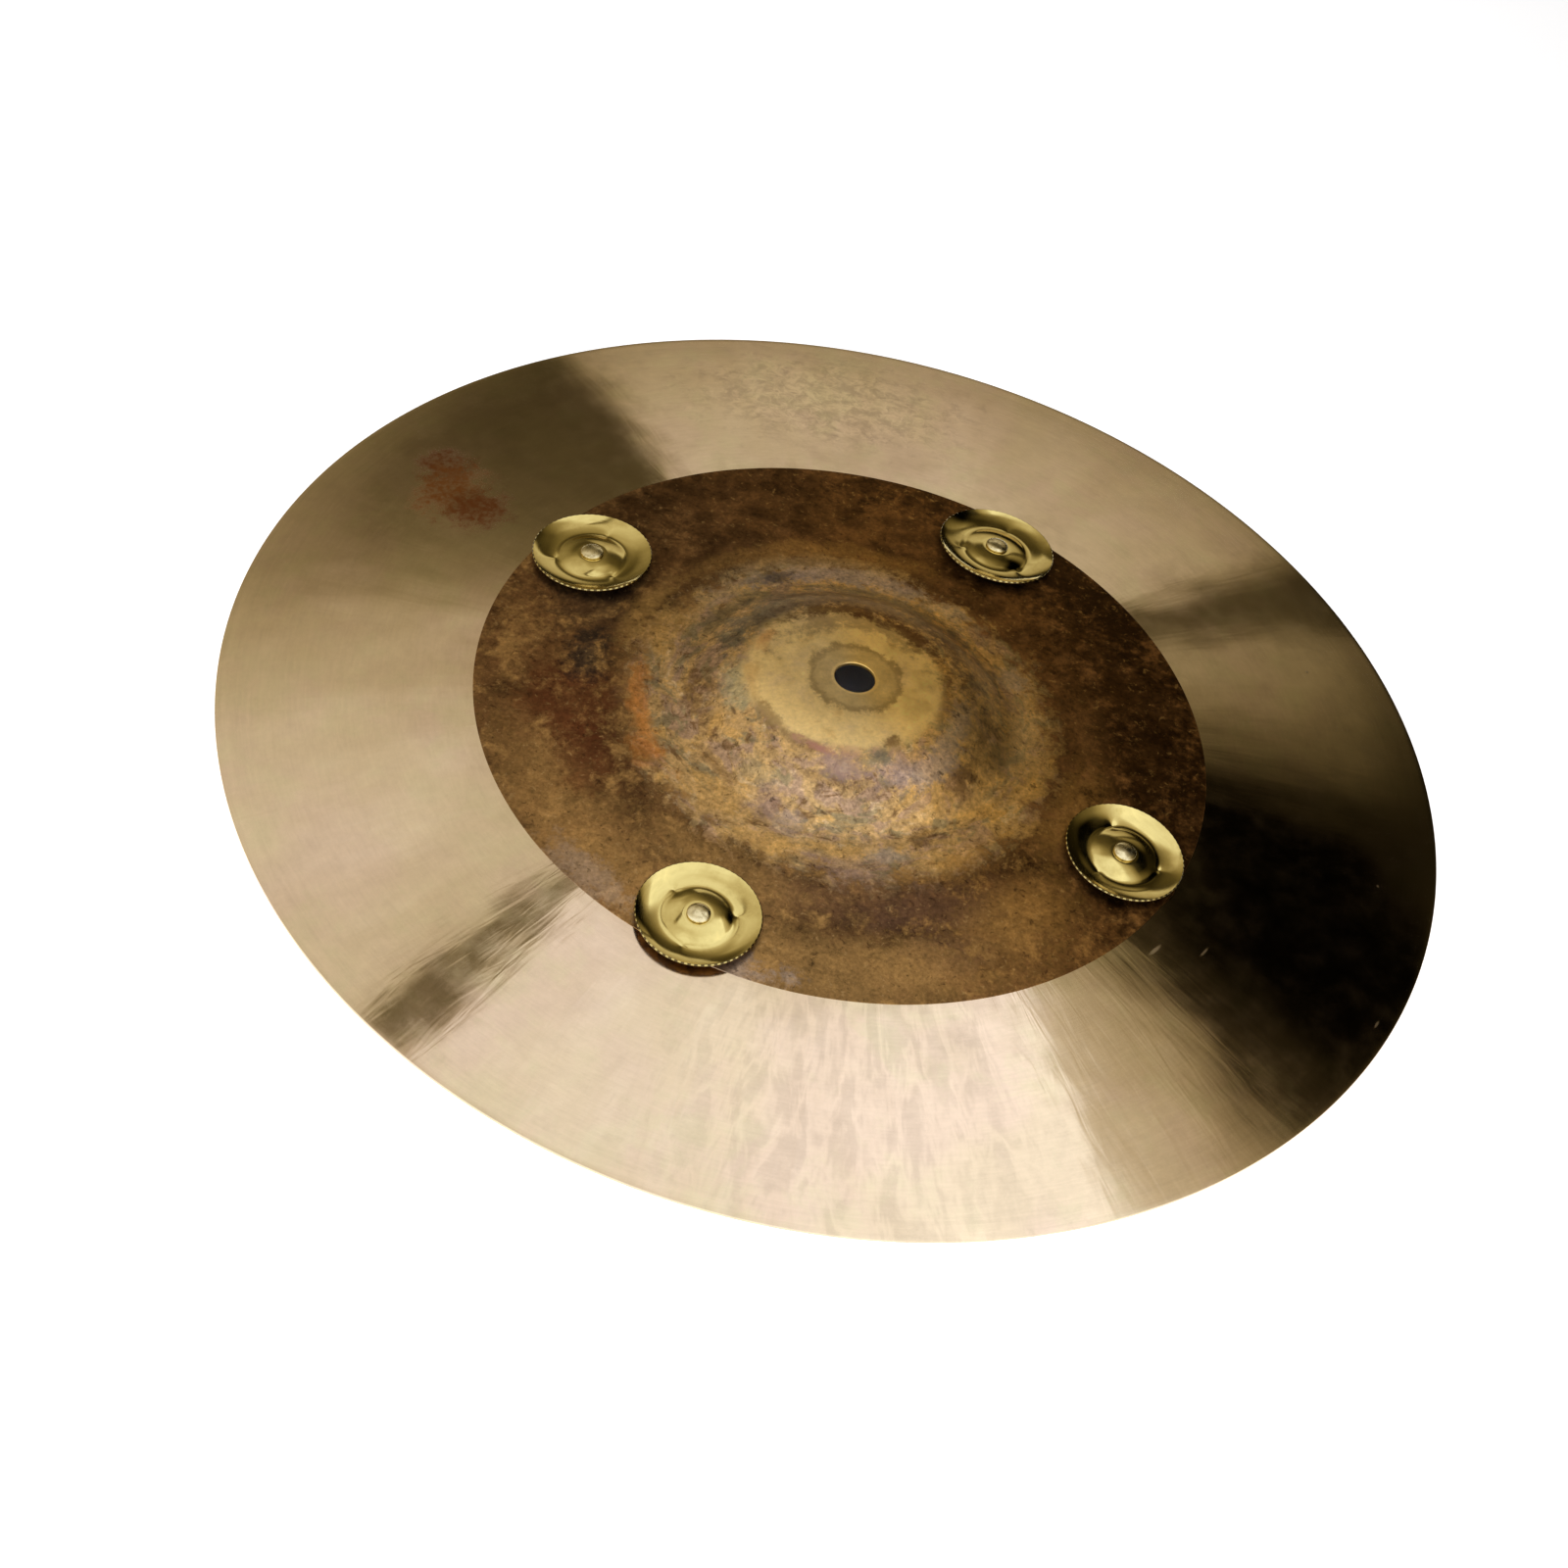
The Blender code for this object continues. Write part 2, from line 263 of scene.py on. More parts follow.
class TurnedTree:
    """Geometry Nodes tree that turns an outline round the Z axis and then works the sheet.

    The object's own mesh is the outline: points in order, in the XZ plane. A subclass adds what
    the hammer or the press does to the turned sheet.
    """

    def __init__(self, name: str, closed: bool) -> None:
        """Start the tree with its named inputs.

        Args:
            name: name of the tree.
            closed: whether the last point of the outline meets the first.
        """
        self.tree = bpy.data.node_groups.new(name, "GeometryNodeTree")
        self.closed = closed
        self.graph = Graph(self.tree)
        self.identifiers: dict[str, str] = {}
        self.tree.interface.new_socket("Geometry", in_out="INPUT", socket_type="NodeSocketGeometry")
        self.tree.interface.new_socket("Geometry", in_out="OUTPUT", socket_type="NodeSocketGeometry")
        self.entry = self.graph.node("NodeGroupInput")
        self.take("Segments", "NodeSocketInt")
        self.build()

    def take(self, name: str, kind: str = "NodeSocketFloat") -> Socket:
        """Add a named input to the tree and return the socket that carries it."""
        made = self.tree.interface.new_socket(name, in_out="INPUT", socket_type=kind)
        self.identifiers[name] = made.identifier
        return self.entry.outputs[name]

    def build(self) -> None:
        """Join the turned sheet, the work on it, its finishes and the output."""
        sheet = self.turned()
        sheet = self.worked(sheet)
        sheet = self.finished(sheet)
        realized = self.graph.node("GeometryNodeRealizeInstances", {"Geometry": sheet})
        result = self.coated(realized.outputs[0])
        self.graph.node("NodeGroupOutput", {"Geometry": result})

    def turned(self) -> Socket:
        """Sheet of quads that the outline leaves when it goes once round the axis."""
        graph = self.graph
        outline = self.entry.outputs["Geometry"]
        count = graph.node("GeometryNodeAttributeDomainSize", {"Geometry": outline})
        points = count.outputs["Point Count"]
        rows = graph.maths("ADD", points, 1.0) if self.closed else points
        segments = self.entry.outputs["Segments"]
        columns = graph.maths("ADD", segments, 1.0)
        grid = graph.node(
            "GeometryNodeMeshGrid", {"Vertices X": columns, "Vertices Y": rows}
        ).outputs["Mesh"]
        index = graph.node("GeometryNodeInputIndex").outputs[0]
        column = graph.maths("FLOOR", graph.maths("DIVIDE", graph.maths("ADD", index, 0.5), rows))
        row = graph.maths("SUBTRACT", index, graph.maths("MULTIPLY", column, rows))
        source_row = graph.maths("MODULO", row, points)
        sample = graph.node(
            "GeometryNodeSampleIndex",
            {
                "Geometry": outline,
                "Value": graph.node("GeometryNodeInputPosition").outputs[0],
                "Index": source_row,
            },
            data_type="FLOAT_VECTOR",
        ).outputs[0]
        share = graph.maths("DIVIDE", column, segments)
        angle = graph.maths("MULTIPLY", share, math.tau)
        turned = graph.node(
            "ShaderNodeVectorRotate", {"Vector": sample, "Angle": angle}, rotation_type="Z_AXIS"
        ).outputs[0]
        placed = graph.node("GeometryNodeSetPosition", {"Geometry": grid, "Position": turned})
        radius = graph.node("ShaderNodeSeparateXYZ", {0: sample}).outputs[0]
        unrolled = graph.node("ShaderNodeCombineXYZ", {0: share, 1: radius}).outputs[0]
        held = graph.node(
            "GeometryNodeFieldOnDomain", {"Value": unrolled}, data_type="FLOAT_VECTOR", domain="POINT"
        ).outputs[0]
        stored = graph.node(
            "GeometryNodeStoreNamedAttribute",
            {"Geometry": placed.outputs[0], "Name": TURNED_UV, "Value": held},
            data_type="FLOAT2",
            domain="CORNER",
        )
        welded = graph.node(
            "GeometryNodeMergeByDistance", {"Geometry": stored.outputs[0], "Distance": WELD}
        )
        return graph.node("GeometryNodeFlipFaces", {"Mesh": welded.outputs[0]}).outputs[0]

    def worked(self, sheet: Socket) -> Socket:
        """Sheet after the work that shapes it, which is none here."""
        return sheet

    def finished(self, sheet: Socket) -> Socket:
        """Sheet with its shading set."""
        return self.graph.node("GeometryNodeSetShadeSmooth", {"Geometry": sheet}).outputs[0]

    def coated(self, sheet: Socket) -> Socket:
        """Sheet with its one finish."""
        coat = self.take("Finish", "NodeSocketMaterial")
        node = self.graph.node("GeometryNodeSetMaterial", {"Geometry": sheet, "Material": coat})
        return node.outputs[0]

    def lift(self, sheet: Socket, height: Any) -> Socket:
        """Sheet moved along Z by a height."""
        offset = self.graph.node("ShaderNodeCombineXYZ", {2: height}).outputs[0]
        moved = self.graph.node("GeometryNodeSetPosition", {"Geometry": sheet, "Offset": offset})
        return moved.outputs[0]

    def flat_place(self) -> tuple[Socket, Socket]:
        """Position with its height left out, and the distance from the axis."""
        place = self.graph.node("GeometryNodeInputPosition").outputs[0]
        flat = self.graph.vector("MULTIPLY", place, (1.0, 1.0, 0.0))
        return flat, self.graph.vector("LENGTH", flat)

    def make(self, name: str, outline: Sequence[tuple[float, float]], **inputs: Any) -> bpy.types.Mesh:
        """Run the tree on an outline.

        Args:
            name: name of the mesh that comes out.
            outline: radii and heights in order.
            inputs: values of the tree's inputs, with an underscore for each space.

        Returns:
            A plain mesh with no modifier behind it.
        """
        former = bpy.data.objects.new(f"{name}_former", outline_mesh(f"{name}_outline", outline))
        bpy.context.scene.collection.objects.link(former)
        modifier = former.modifiers.new("turned", "NODES")
        modifier.node_group = self.tree
        for key, value in inputs.items():
            modifier[self.identifiers[key.replace("_", " ")]] = value
        graph = bpy.context.evaluated_depsgraph_get()
        mesh = bpy.data.meshes.new_from_object(former.evaluated_get(graph))
        mesh.name = name
        outline_points = former.data
        bpy.data.objects.remove(former)
        bpy.data.meshes.remove(outline_points)
        return mesh


class HammeredShellTree(TurnedTree):
    """Turned sheet with hammer marks, rivet holes and a finish for each zone."""

    def worked(self, sheet: Socket) -> Socket:
        """Sheet with its hammer marks and with the rivet holes cut out of it."""
        return self.drilled(self.hammered(sheet))

    def hammered(self, sheet: Socket) -> Socket:
        """Sheet dented by overlapping hammer marks that fade towards the bell and the rim."""
        graph = self.graph
        flat, radius = self.flat_place()
        seed = self.take("Hammer Seed")
        height: Any = 0.0
        for label in ("Broad", "Fine"):
            depth = self.take(f"{label} Mark Depth")
            size = self.take(f"{label} Mark Size")
            scaled = graph.vector("SCALE", flat, scale=graph.maths("DIVIDE", 1.0, size))
            noise = graph.node(
                "ShaderNodeTexNoise",
                {"Vector": scaled, "W": seed, "Scale": 1.0, "Detail": 1.0},
                noise_dimensions="4D",
            ).outputs[0]
            centred = graph.maths("SUBTRACT", noise, 0.5)
            height = graph.maths("ADD", height, graph.maths("MULTIPLY", centred, depth))
        height = graph.maths("ADD", height, self.rippled(flat, radius, seed))
        inside = graph.node(
            "ShaderNodeMapRange",
            {"Value": radius, "From Min": self.take("Quiet Bell Radius"),
             "From Max": self.take("Hammered Radius")},
            interpolation_type="SMOOTHSTEP",
        ).outputs[0]
        outside = graph.node(
            "ShaderNodeMapRange",
            {"Value": radius, "From Min": self.take("Quiet Rim Radius"),
             "From Max": self.take("Rim Radius"), "To Min": 1.0, "To Max": 0.0},
            interpolation_type="SMOOTHSTEP",
        ).outputs[0]
        faded = graph.maths("MULTIPLY", height, graph.maths("MULTIPLY", inside, outside))
        return self.lift(sheet, faded)

    def rippled(self, flat: Socket, radius: Socket, seed: Socket) -> Socket:
        """Height of the ripples that run out along the radius.

        Args:
            flat: position without its height.
            radius: distance from the axis.
            seed: place of the noise along its fourth axis.

        Returns:
            The height.
        """
        graph = self.graph
        depth = self.take("Ripple Depth")
        count = graph.maths("DIVIDE", self.take("Ripple Circle Radius"), self.take("Ripple Width"))
        round_about = graph.vector("SCALE", graph.vector("NORMALIZE", flat), scale=count)
        along = graph.maths("DIVIDE", radius, self.take("Ripple Length"))
        lifted = graph.node("ShaderNodeCombineXYZ", {2: along}).outputs[0]
        noise = graph.node(
            "ShaderNodeTexNoise",
            {"Vector": graph.vector("ADD", round_about, lifted), "W": seed, "Scale": 1.0,
             "Detail": 1.0},
            noise_dimensions="4D",
        ).outputs[0]
        return graph.maths("MULTIPLY", graph.maths("SUBTRACT", noise, 0.5), depth)

    def drilled(self, sheet: Socket) -> Socket:
        """Sheet with a hole wherever the drills stand."""
        drills = self.take("Drills", "NodeSocketObject")
        cutters = self.graph.node("GeometryNodeObjectInfo", {"Object": drills})
        cut = self.graph.node("GeometryNodeMeshBoolean", operation="DIFFERENCE", solver="EXACT")
        self.graph.feed(cut.inputs["Mesh 1"], sheet)
        self.graph.feed(cut.inputs["Mesh 2"], cutters.outputs["Geometry"])
        return cut.outputs["Mesh"]

    def coated(self, sheet: Socket) -> Socket:
        """Sheet with the raw, lathed and lower finishes on their own faces."""
        graph = self.graph
        _, radius = self.flat_place()
        normal = graph.node("GeometryNodeInputNormal").outputs[0]
        upward = graph.node("ShaderNodeSeparateXYZ", {0: normal}).outputs[2]
        raw_radius = self.take("Raw Radius")
        is_under = graph.maths("LESS_THAN", upward, 0.0)
        is_inner = graph.maths("LESS_THAN", radius, raw_radius)
        is_raw = graph.maths("MULTIPLY", is_inner, graph.maths("SUBTRACT", 1.0, is_under))
        for zone, chosen in ((Zone.BAND, None), (Zone.RAW, is_raw), (Zone.UNDER, is_under)):
            coat = self.take(f"{zone.name.title()} Finish", "NodeSocketMaterial")
            node = graph.node("GeometryNodeSetMaterial", {"Geometry": sheet, "Material": coat})
            if chosen is not None:
                graph.feed(node.inputs["Selection"], chosen)
            sheet = node.outputs[0]
        return sheet


class StampedJingleTree(TurnedTree):
    """Turned sheet with pointed dimples along its crease and a milled lip."""

    def worked(self, sheet: Socket) -> Socket:
        """Sheet with every dimple punched: a sharp point with a skirt that is longer outwards."""
        graph = self.graph
        place = graph.node("GeometryNodeInputPosition").outputs[0]
        across_x, across_y, _ = graph.node("ShaderNodeSeparateXYZ", {0: place}).outputs
        _, radius = self.flat_place()
        pitch = graph.maths("DIVIDE", math.tau, self.take("Dimple Count"))
        half = graph.maths("DIVIDE", pitch, 2.0)
        angle = graph.maths("ADD", graph.maths("ARCTAN2", across_y, across_x), half)
        turn = graph.maths("SUBTRACT", graph.maths("FLOORED_MODULO", angle, pitch), half)
        circle = self.take("Dimple Circle Radius")
        outwards = graph.maths("SUBTRACT", graph.maths("MULTIPLY", radius, graph.maths("COSINE", turn)), circle)
        sideways = graph.maths("MULTIPLY", radius, graph.maths("SINE", turn))
        inner = self.take("Dimple Inner Reach")
        outer = self.take("Dimple Outer Reach")
        beyond = graph.maths("GREATER_THAN", outwards, 0.0)
        reach = graph.blend_values(beyond, inner, outer)
        along = graph.maths("DIVIDE", outwards, reach)
        across = graph.maths("DIVIDE", sideways, self.take("Dimple Side Reach"))
        away = graph.node("ShaderNodeCombineXYZ", {0: along, 1: across}).outputs[0]
        fade = graph.maths("EXPONENT", graph.maths("MULTIPLY", graph.vector("LENGTH", away), -1.0))
        sink = graph.maths("MULTIPLY", fade, self.take("Dimple Depth"))
        wave = graph.maths("COSINE", graph.maths("MULTIPLY", angle, self.take("Notch Count")))
        notch = graph.maths("MULTIPLY", graph.maths("SUBTRACT", 1.0, wave), self.take("Notch Depth"))
        on_lip = graph.maths("GREATER_THAN", radius, self.take("Lip Radius"))
        notch = graph.maths("MULTIPLY", graph.maths("MULTIPLY", notch, 0.5), on_lip)
        return self.lift(sheet, graph.maths("MULTIPLY", graph.maths("ADD", sink, notch), -1.0))

    def coated(self, sheet: Socket) -> Socket:
        """Sheet with bright brass above and, below, brass that is tarnished and painted dark as shade."""
        graph = self.graph
        normal = graph.node("GeometryNodeInputNormal").outputs[0]
        upward = graph.node("ShaderNodeSeparateXYZ", {0: normal}).outputs[2]
        below = graph.maths("LESS_THAN", upward, 0.0)
        for name, chosen in (("Finish", None), ("Under Finish", below)):
            coat = self.take(name, "NodeSocketMaterial")
            node = graph.node("GeometryNodeSetMaterial", {"Geometry": sheet, "Material": coat})
            if chosen is not None:
                graph.feed(node.inputs["Selection"], chosen)
            sheet = node.outputs[0]
        return sheet


@dataclass
class StationPlace:
    """Where one rivet stands on the shell, read from its joint in the frame."""

    number: int
    turn: float
    origin: Vector = field(init=False)
    axis: Vector = field(init=False)

    def __post_init__(self) -> None:
        """Find the joint that spins this station's jingle."""
        name = f"jingle_{self.number}_spin"
        joint = next(row for row in frame["joints"] if row["name"] == name)
        self.origin = Vector(joint["pos_m"])
        self.axis = Vector(joint["axis"]).normalized()

    @property
    def radius(self) -> float:
        """Distance of the station from the cymbal's axis."""
        return math.hypot(self.origin.x, self.origin.y)

    def matrix(self, turn: float = 0.0) -> Matrix:
        """Place with Z square to the shell and X pointing down its slope.

        Args:
            turn: further turn about the station's own axis.

        Returns:
            The place as a matrix.
        """
        outward = Vector((self.origin.x, self.origin.y, 0.0)).normalized()
        down_slope = (outward - self.axis * outward.dot(self.axis)).normalized()
        sideways = self.axis.cross(down_slope)
        rotation = Matrix((down_slope, sideways, self.axis)).transposed().to_4x4()
        return Matrix.Translation(self.origin) @ rotation @ Matrix.Rotation(turn, 4, "Z")


@dataclass(frozen=True)
class Mark:
    """One ragged patch of colour, laid round the axis like everything that heat or a tool leaves.

    Radius and half width are in millimetres, angle and half spread in degrees.
    """

    radius: float
    angle: float
    half_width: float
    half_spread: float
    colour: Colour
    strength: float


class Finish:
    """Surface of a piece, made once as a node material."""

    name = "finish"

    def material(self) -> bpy.types.Material:
        """Material with this finish's nodes."""
        made = bpy.data.materials.new(self.name)
        made.use_nodes = True
        graph = Graph(made.node_tree)
        shader = made.node_tree.nodes["Principled BSDF"]
        self.wire(graph, shader)
        return made

    def wire(self, graph: Graph, shader: bpy.types.Node) -> None:
        """Set the shader's sockets and link its nodes."""

    @staticmethod
    def place(graph: Graph) -> Socket:
        """Object coordinates, which are metres in the row frame."""
        return graph.node("ShaderNodeTexCoord").outputs["Object"]

    @staticmethod
    def polar(graph: Graph, place: Socket) -> tuple[Socket, Socket]:
        """Distance from the Z axis and angle about it."""
        x, y, _ = graph.node("ShaderNodeSeparateXYZ", {0: place}).outputs
        flat = graph.vector("MULTIPLY", place, (1.0, 1.0, 0.0))
        return graph.vector("LENGTH", flat), graph.maths("ARCTAN2", y, x)

    @staticmethod
    def radial_tangent(graph: Graph) -> Socket:
        """Direction of the tool's circular marks about the Z axis."""
        return graph.node("ShaderNodeTangent", direction_type="RADIAL", axis="Z").outputs[0]

    @staticmethod
    def mark_share(graph: Graph, polar: Socket, mark: Mark, ragged: Any) -> Socket:
        """Mask of one mark.

        Args:
            graph: tree that the nodes go into.
            polar: vector of the distance from the axis and the angle about it.
            mark: where the mark lies and how strong it is.
            ragged: noise that tears its edge.

        Returns:
            The mask, which is the mark's strength at its middle.
        """
        middle = (mark.radius * MM, degrees(mark.angle), 0.0)
        away = graph.vector("SUBTRACT", polar, middle)
        wrapped = graph.vector("WRAP", away, (1.0, math.pi, 1.0), (-1.0, -math.pi, -1.0))
        reach = (1.0 / (mark.half_width * MM), 1.0 / degrees(mark.half_spread), 0.0)
        distance = graph.vector("LENGTH", graph.vector("MULTIPLY", wrapped, reach))
        torn = graph.maths("ADD", distance, ragged)
        return graph.ramp_between(torn, 1.55, 0.45, 0.0, mark.strength)


@dataclass(frozen=True)
class LathedBronze(Finish):
    """Band that was hammered, skimmed on the lathe and buffed to a champagne gloss."""

    name: str = "lathed_bronze"
    clean: Colour = (0.80, 0.625, 0.385)
    pink: Colour = (0.80, 0.605, 0.40)
    green: Colour = (0.735, 0.61, 0.355)
    gloss: float = 0.10
    dull: float = 0.165
    scuffed: float = 0.45
    anisotropy: float = 0.8
    across_the_grooves: float = 0.25
    groove_pitch: float = 1.3 * MM
    groove_depth: float = 0.010 * MM
    groove_start: float = 184.0 * MM
    groove_full: float = 196.0 * MM
    ripple_circle: float = 160.0 * MM
    ripple_width: float = 4.5 * MM
    ripple_length: float = 26.0 * MM
    ripple_depth: float = 0.030 * MM
    skin_length: float = 9.0 * MM
    skin_width: float = 1.1 * MM
    # The wavy and pitted patches mark where ripple highlights and pit glints are painted into the colour.
    rippled_patch: Mark = Mark(150, -79, 66, 19, (0.80, 0.62, 0.38), 1.0)
    pitted_patch: Mark = Mark(167, 101, 24, 15, (0.80, 0.62, 0.38), 1.0)
    rust: tuple[Mark, ...] = (
        Mark(173, 152.5, 9, 3.0, (0.30, 0.105, 0.026), 1.0),
        Mark(162, 155.5, 11, 5.0, (0.44, 0.165, 0.036), 1.0),
        Mark(149, 157.0, 9, 4.6, (0.34, 0.115, 0.028), 1.0),
    )
    scratches: tuple[Mark, ...] = (
        Mark(130.2, -29.8, 0.6, 1.2, (0.8, 0.6, 0.4), 0.8),
        Mark(141.5, -24.5, 0.4, 0.9, (0.8, 0.6, 0.4), 0.7),
        Mark(198.0, -18.3, 0.4, 0.5, (0.8, 0.6, 0.4), 0.8),
        Mark(174.1, 30.3, 0.45, 0.16, (0.8, 0.6, 0.4), 0.8),
        Mark(183.0, -1.2, 0.45, 0.16, (0.8, 0.6, 0.4), 0.8),
    )

    def wire(self, graph: Graph, shader: bpy.types.Node) -> None:
        """Blend the tints of the buffed metal with painted ripple highlights and pit glints, scuff it and cut
        ripples and grooves into it.
        """
        place = self.place(graph)
        radius, angle = self.polar(graph, place)
        polar = graph.node("ShaderNodeCombineXYZ", {0: radius, 1: angle}).outputs[0]
        cloud = graph.noise(place, 46 * MM, 4.0, 0.55, 0.3, seed=3.0)
        tint = graph.blend(graph.ramp_between(cloud, 0.42, 0.62), self.clean, self.pink)
        haze = graph.noise(place, 17 * MM, 5.0, 0.6, 0.3, seed=8.0)
        tint = graph.blend(graph.ramp_between(haze, 0.48, 0.66, 0.0, 0.6), tint, self.green)
        outer = graph.ramp_between(radius, self.groove_start, self.groove_full)
        ring_place = graph.node("ShaderNodeCombineXYZ", {0: radius}).outputs[0]
        rings = graph.noise(ring_place, 2.2 * MM, 3.0, 0.6, seed=5.0)
        depth = graph.ramp_between(outer, 0.0, 1.0, 0.03, 0.20, Wave.LINEAR)
        shade = graph.maths("MULTIPLY", graph.maths("SUBTRACT", rings, 0.5), depth)
        blotch = graph.ramp_between(haze, 0.3, 0.7, 0.95, 1.04, Wave.LINEAR)
        speck = graph.noise(place, 7.0 * MM, 6.0, 0.8, seed=14.0)
        torn = graph.maths("MULTIPLY", graph.maths("SUBTRACT", speck, 0.5), 3.2)
        lights = graph.maths("ADD", blotch, shade)
        grain = graph.maths("MULTIPLY", graph.maths("SUBTRACT", speck, 0.5), 0.30)
        lights = graph.maths("ADD", lights, grain)
        lights = graph.maths("ADD", lights, self.skin_and_painted_glints(graph, place, radius, polar, torn))
        tint = graph.vector("SCALE", tint, scale=lights)
        rusted: Any = 0.0
        crumbs = graph.ramp_between(graph.noise(place, 2.2 * MM, 4.0, 0.7, seed=15.0), 0.4, 0.62, 1.0, 0.62)
        for patch in self.rust:
            share = self.mark_share(graph, polar, patch, torn)
            share = graph.maths("MULTIPLY", share, crumbs)
            tint = graph.blend(share, tint, patch.colour)
            rusted = graph.maths("MAXIMUM", rusted, share)
        graph.feed(shader.inputs["Base Color"], tint)
        shader.inputs["Metallic"].default_value = 1.0
        wear = graph.noise(place, 9 * MM, 5.0, 0.6, seed=12.0)
        rough = graph.ramp_between(wear, 0.35, 0.75, self.gloss, self.dull)
        scuffs = rusted
        for scratch in self.scratches:
            share = self.mark_share(graph, polar, scratch, graph.maths("MULTIPLY", torn, 0.15))
            scuffs = graph.maths("MAXIMUM", scuffs, share)
        graph.feed(shader.inputs["Roughness"], graph.blend_values(scuffs, rough, self.scuffed))
        shader.inputs["Anisotropic"].default_value = self.anisotropy
        shader.inputs["Anisotropic Rotation"].default_value = self.across_the_grooves
        graph.feed(shader.inputs["Tangent"], self.radial_tangent(graph))
        graph.feed(shader.inputs["Normal"], self.relief(graph, place, radius, outer, ring_place))

    def drawn_out(
        self, graph: Graph, place: Socket, radius: Socket, length: float, width: float, seed: float
    ) -> Socket:
        """Noise drawn out round the axis.

        Args:
            graph: tree that the nodes go into.
            place: object coordinates.
            radius: distance from the axis.
            length: size of the noise round the axis.
            width: size of the noise along the radius.
            seed: place of the noise along its fourth axis.

        Returns:
            The noise, from nothing to one.
        """
        outward = graph.vector("NORMALIZE", graph.vector("MULTIPLY", place, (1.0, 1.0, 0.0)))
        round_about = graph.vector("SCALE", outward, scale=self.ripple_circle / length)
        along = graph.node(
            "ShaderNodeCombineXYZ", {2: graph.maths("DIVIDE", radius, width)}
        ).outputs[0]
        return graph.noise(graph.vector("ADD", round_about, along), 1.0, 3.0, 0.62, 0.5, seed=seed)

    def skin_and_painted_glints(
        self, graph: Graph, place: Socket, radius: Socket, polar: Socket, torn: Socket
    ) -> Socket:
        """How much lighter the lathe's fine skin is, with painted highlight lines on the wavy patch and painted
        glints and shade of the pits on the pitted patch.

        Args:
            graph: tree that the nodes go into.
            place: object coordinates.
            radius: distance from the axis.
            polar: radius and angle.
            torn: noise that tears edges.

        Returns:
            The change, about nothing.
        """
        skin = self.drawn_out(graph, place, radius, self.skin_length, self.skin_width, 17.0)
        change = graph.maths("MULTIPLY", graph.maths("SUBTRACT", skin, 0.5), 0.17)
        wave = self.drawn_out(graph, place, radius, 9.0 * MM, 30.0 * MM, 18.0)
        crest = graph.maths("ABSOLUTE", graph.maths("SUBTRACT", wave, 0.5))
        # Painted highlight: thin bright lines where the ripples catch the light.
        lines = graph.ramp_between(crest, 0.0, 0.10, 0.11, -0.04)
        rippled = self.mark_share(graph, polar, self.rippled_patch, torn)
        change = graph.maths("ADD", change, graph.maths("MULTIPLY", lines, rippled))
        pits = graph.noise(place, 4.6 * MM, 5.0, 0.7, 0.8, seed=19.0)
        pitted = self.mark_share(graph, polar, self.pitted_patch, torn)
        # Painted light: the pits show as lighter glints and darker shade spots.
        dots = graph.ramp_between(pits, 0.38, 0.62, -0.17, 0.17)
        return graph.maths("ADD", change, graph.maths("MULTIPLY", dots, pitted))

    def relief(
        self, graph: Graph, place: Socket, radius: Socket, outer: Socket, ring_place: Socket
    ) -> Socket:
        """Normal bent by the buffed ripples and by the lathe's grooves near the rim.

        Args:
            graph: tree that the nodes go into.
            place: object coordinates.
            radius: distance from the axis.
            outer: one near the rim and nothing further in.
            ring_place: vector that only grows with the radius.

        Returns:
            The bent normal.
        """
        outward = graph.vector("NORMALIZE", graph.vector("MULTIPLY", place, (1.0, 1.0, 0.0)))
        round_about = graph.vector("SCALE", outward, scale=self.ripple_circle / self.ripple_width)
        along = graph.node(
            "ShaderNodeCombineXYZ", {2: graph.maths("DIVIDE", radius, self.ripple_length)}
        ).outputs[0]
        ripple_place = graph.vector("ADD", round_about, along)
        ripple = graph.noise(ripple_place, 1.0, 2.0, 0.5, 0.8, seed=2.0)
        near = graph.ramp_between(graph.vector("DOT_PRODUCT", outward, (0.0, -1.0, 0.0)), 0.2, 0.8)
        depth = graph.maths("MULTIPLY", graph.ramp_between(near, 0.0, 1.0, 0.35, 1.0), self.ripple_depth)
        groove = graph.noise(ring_place, self.groove_pitch, 2.0, 0.5, seed=1.0)
        groove_height = graph.maths(
            "MULTIPLY", groove, graph.ramp_between(outer, 0.0, 1.0, 0.12, 1.0, Wave.LINEAR)
        )
        height = graph.maths(
            "ADD",
            graph.maths("MULTIPLY", ripple, depth),
            graph.maths("MULTIPLY", groove_height, self.groove_depth),
        )
        bump = graph.node("ShaderNodeBump", {"Height": height, "Distance": 1.0, "Strength": 1.0})
        return bump.outputs[0]


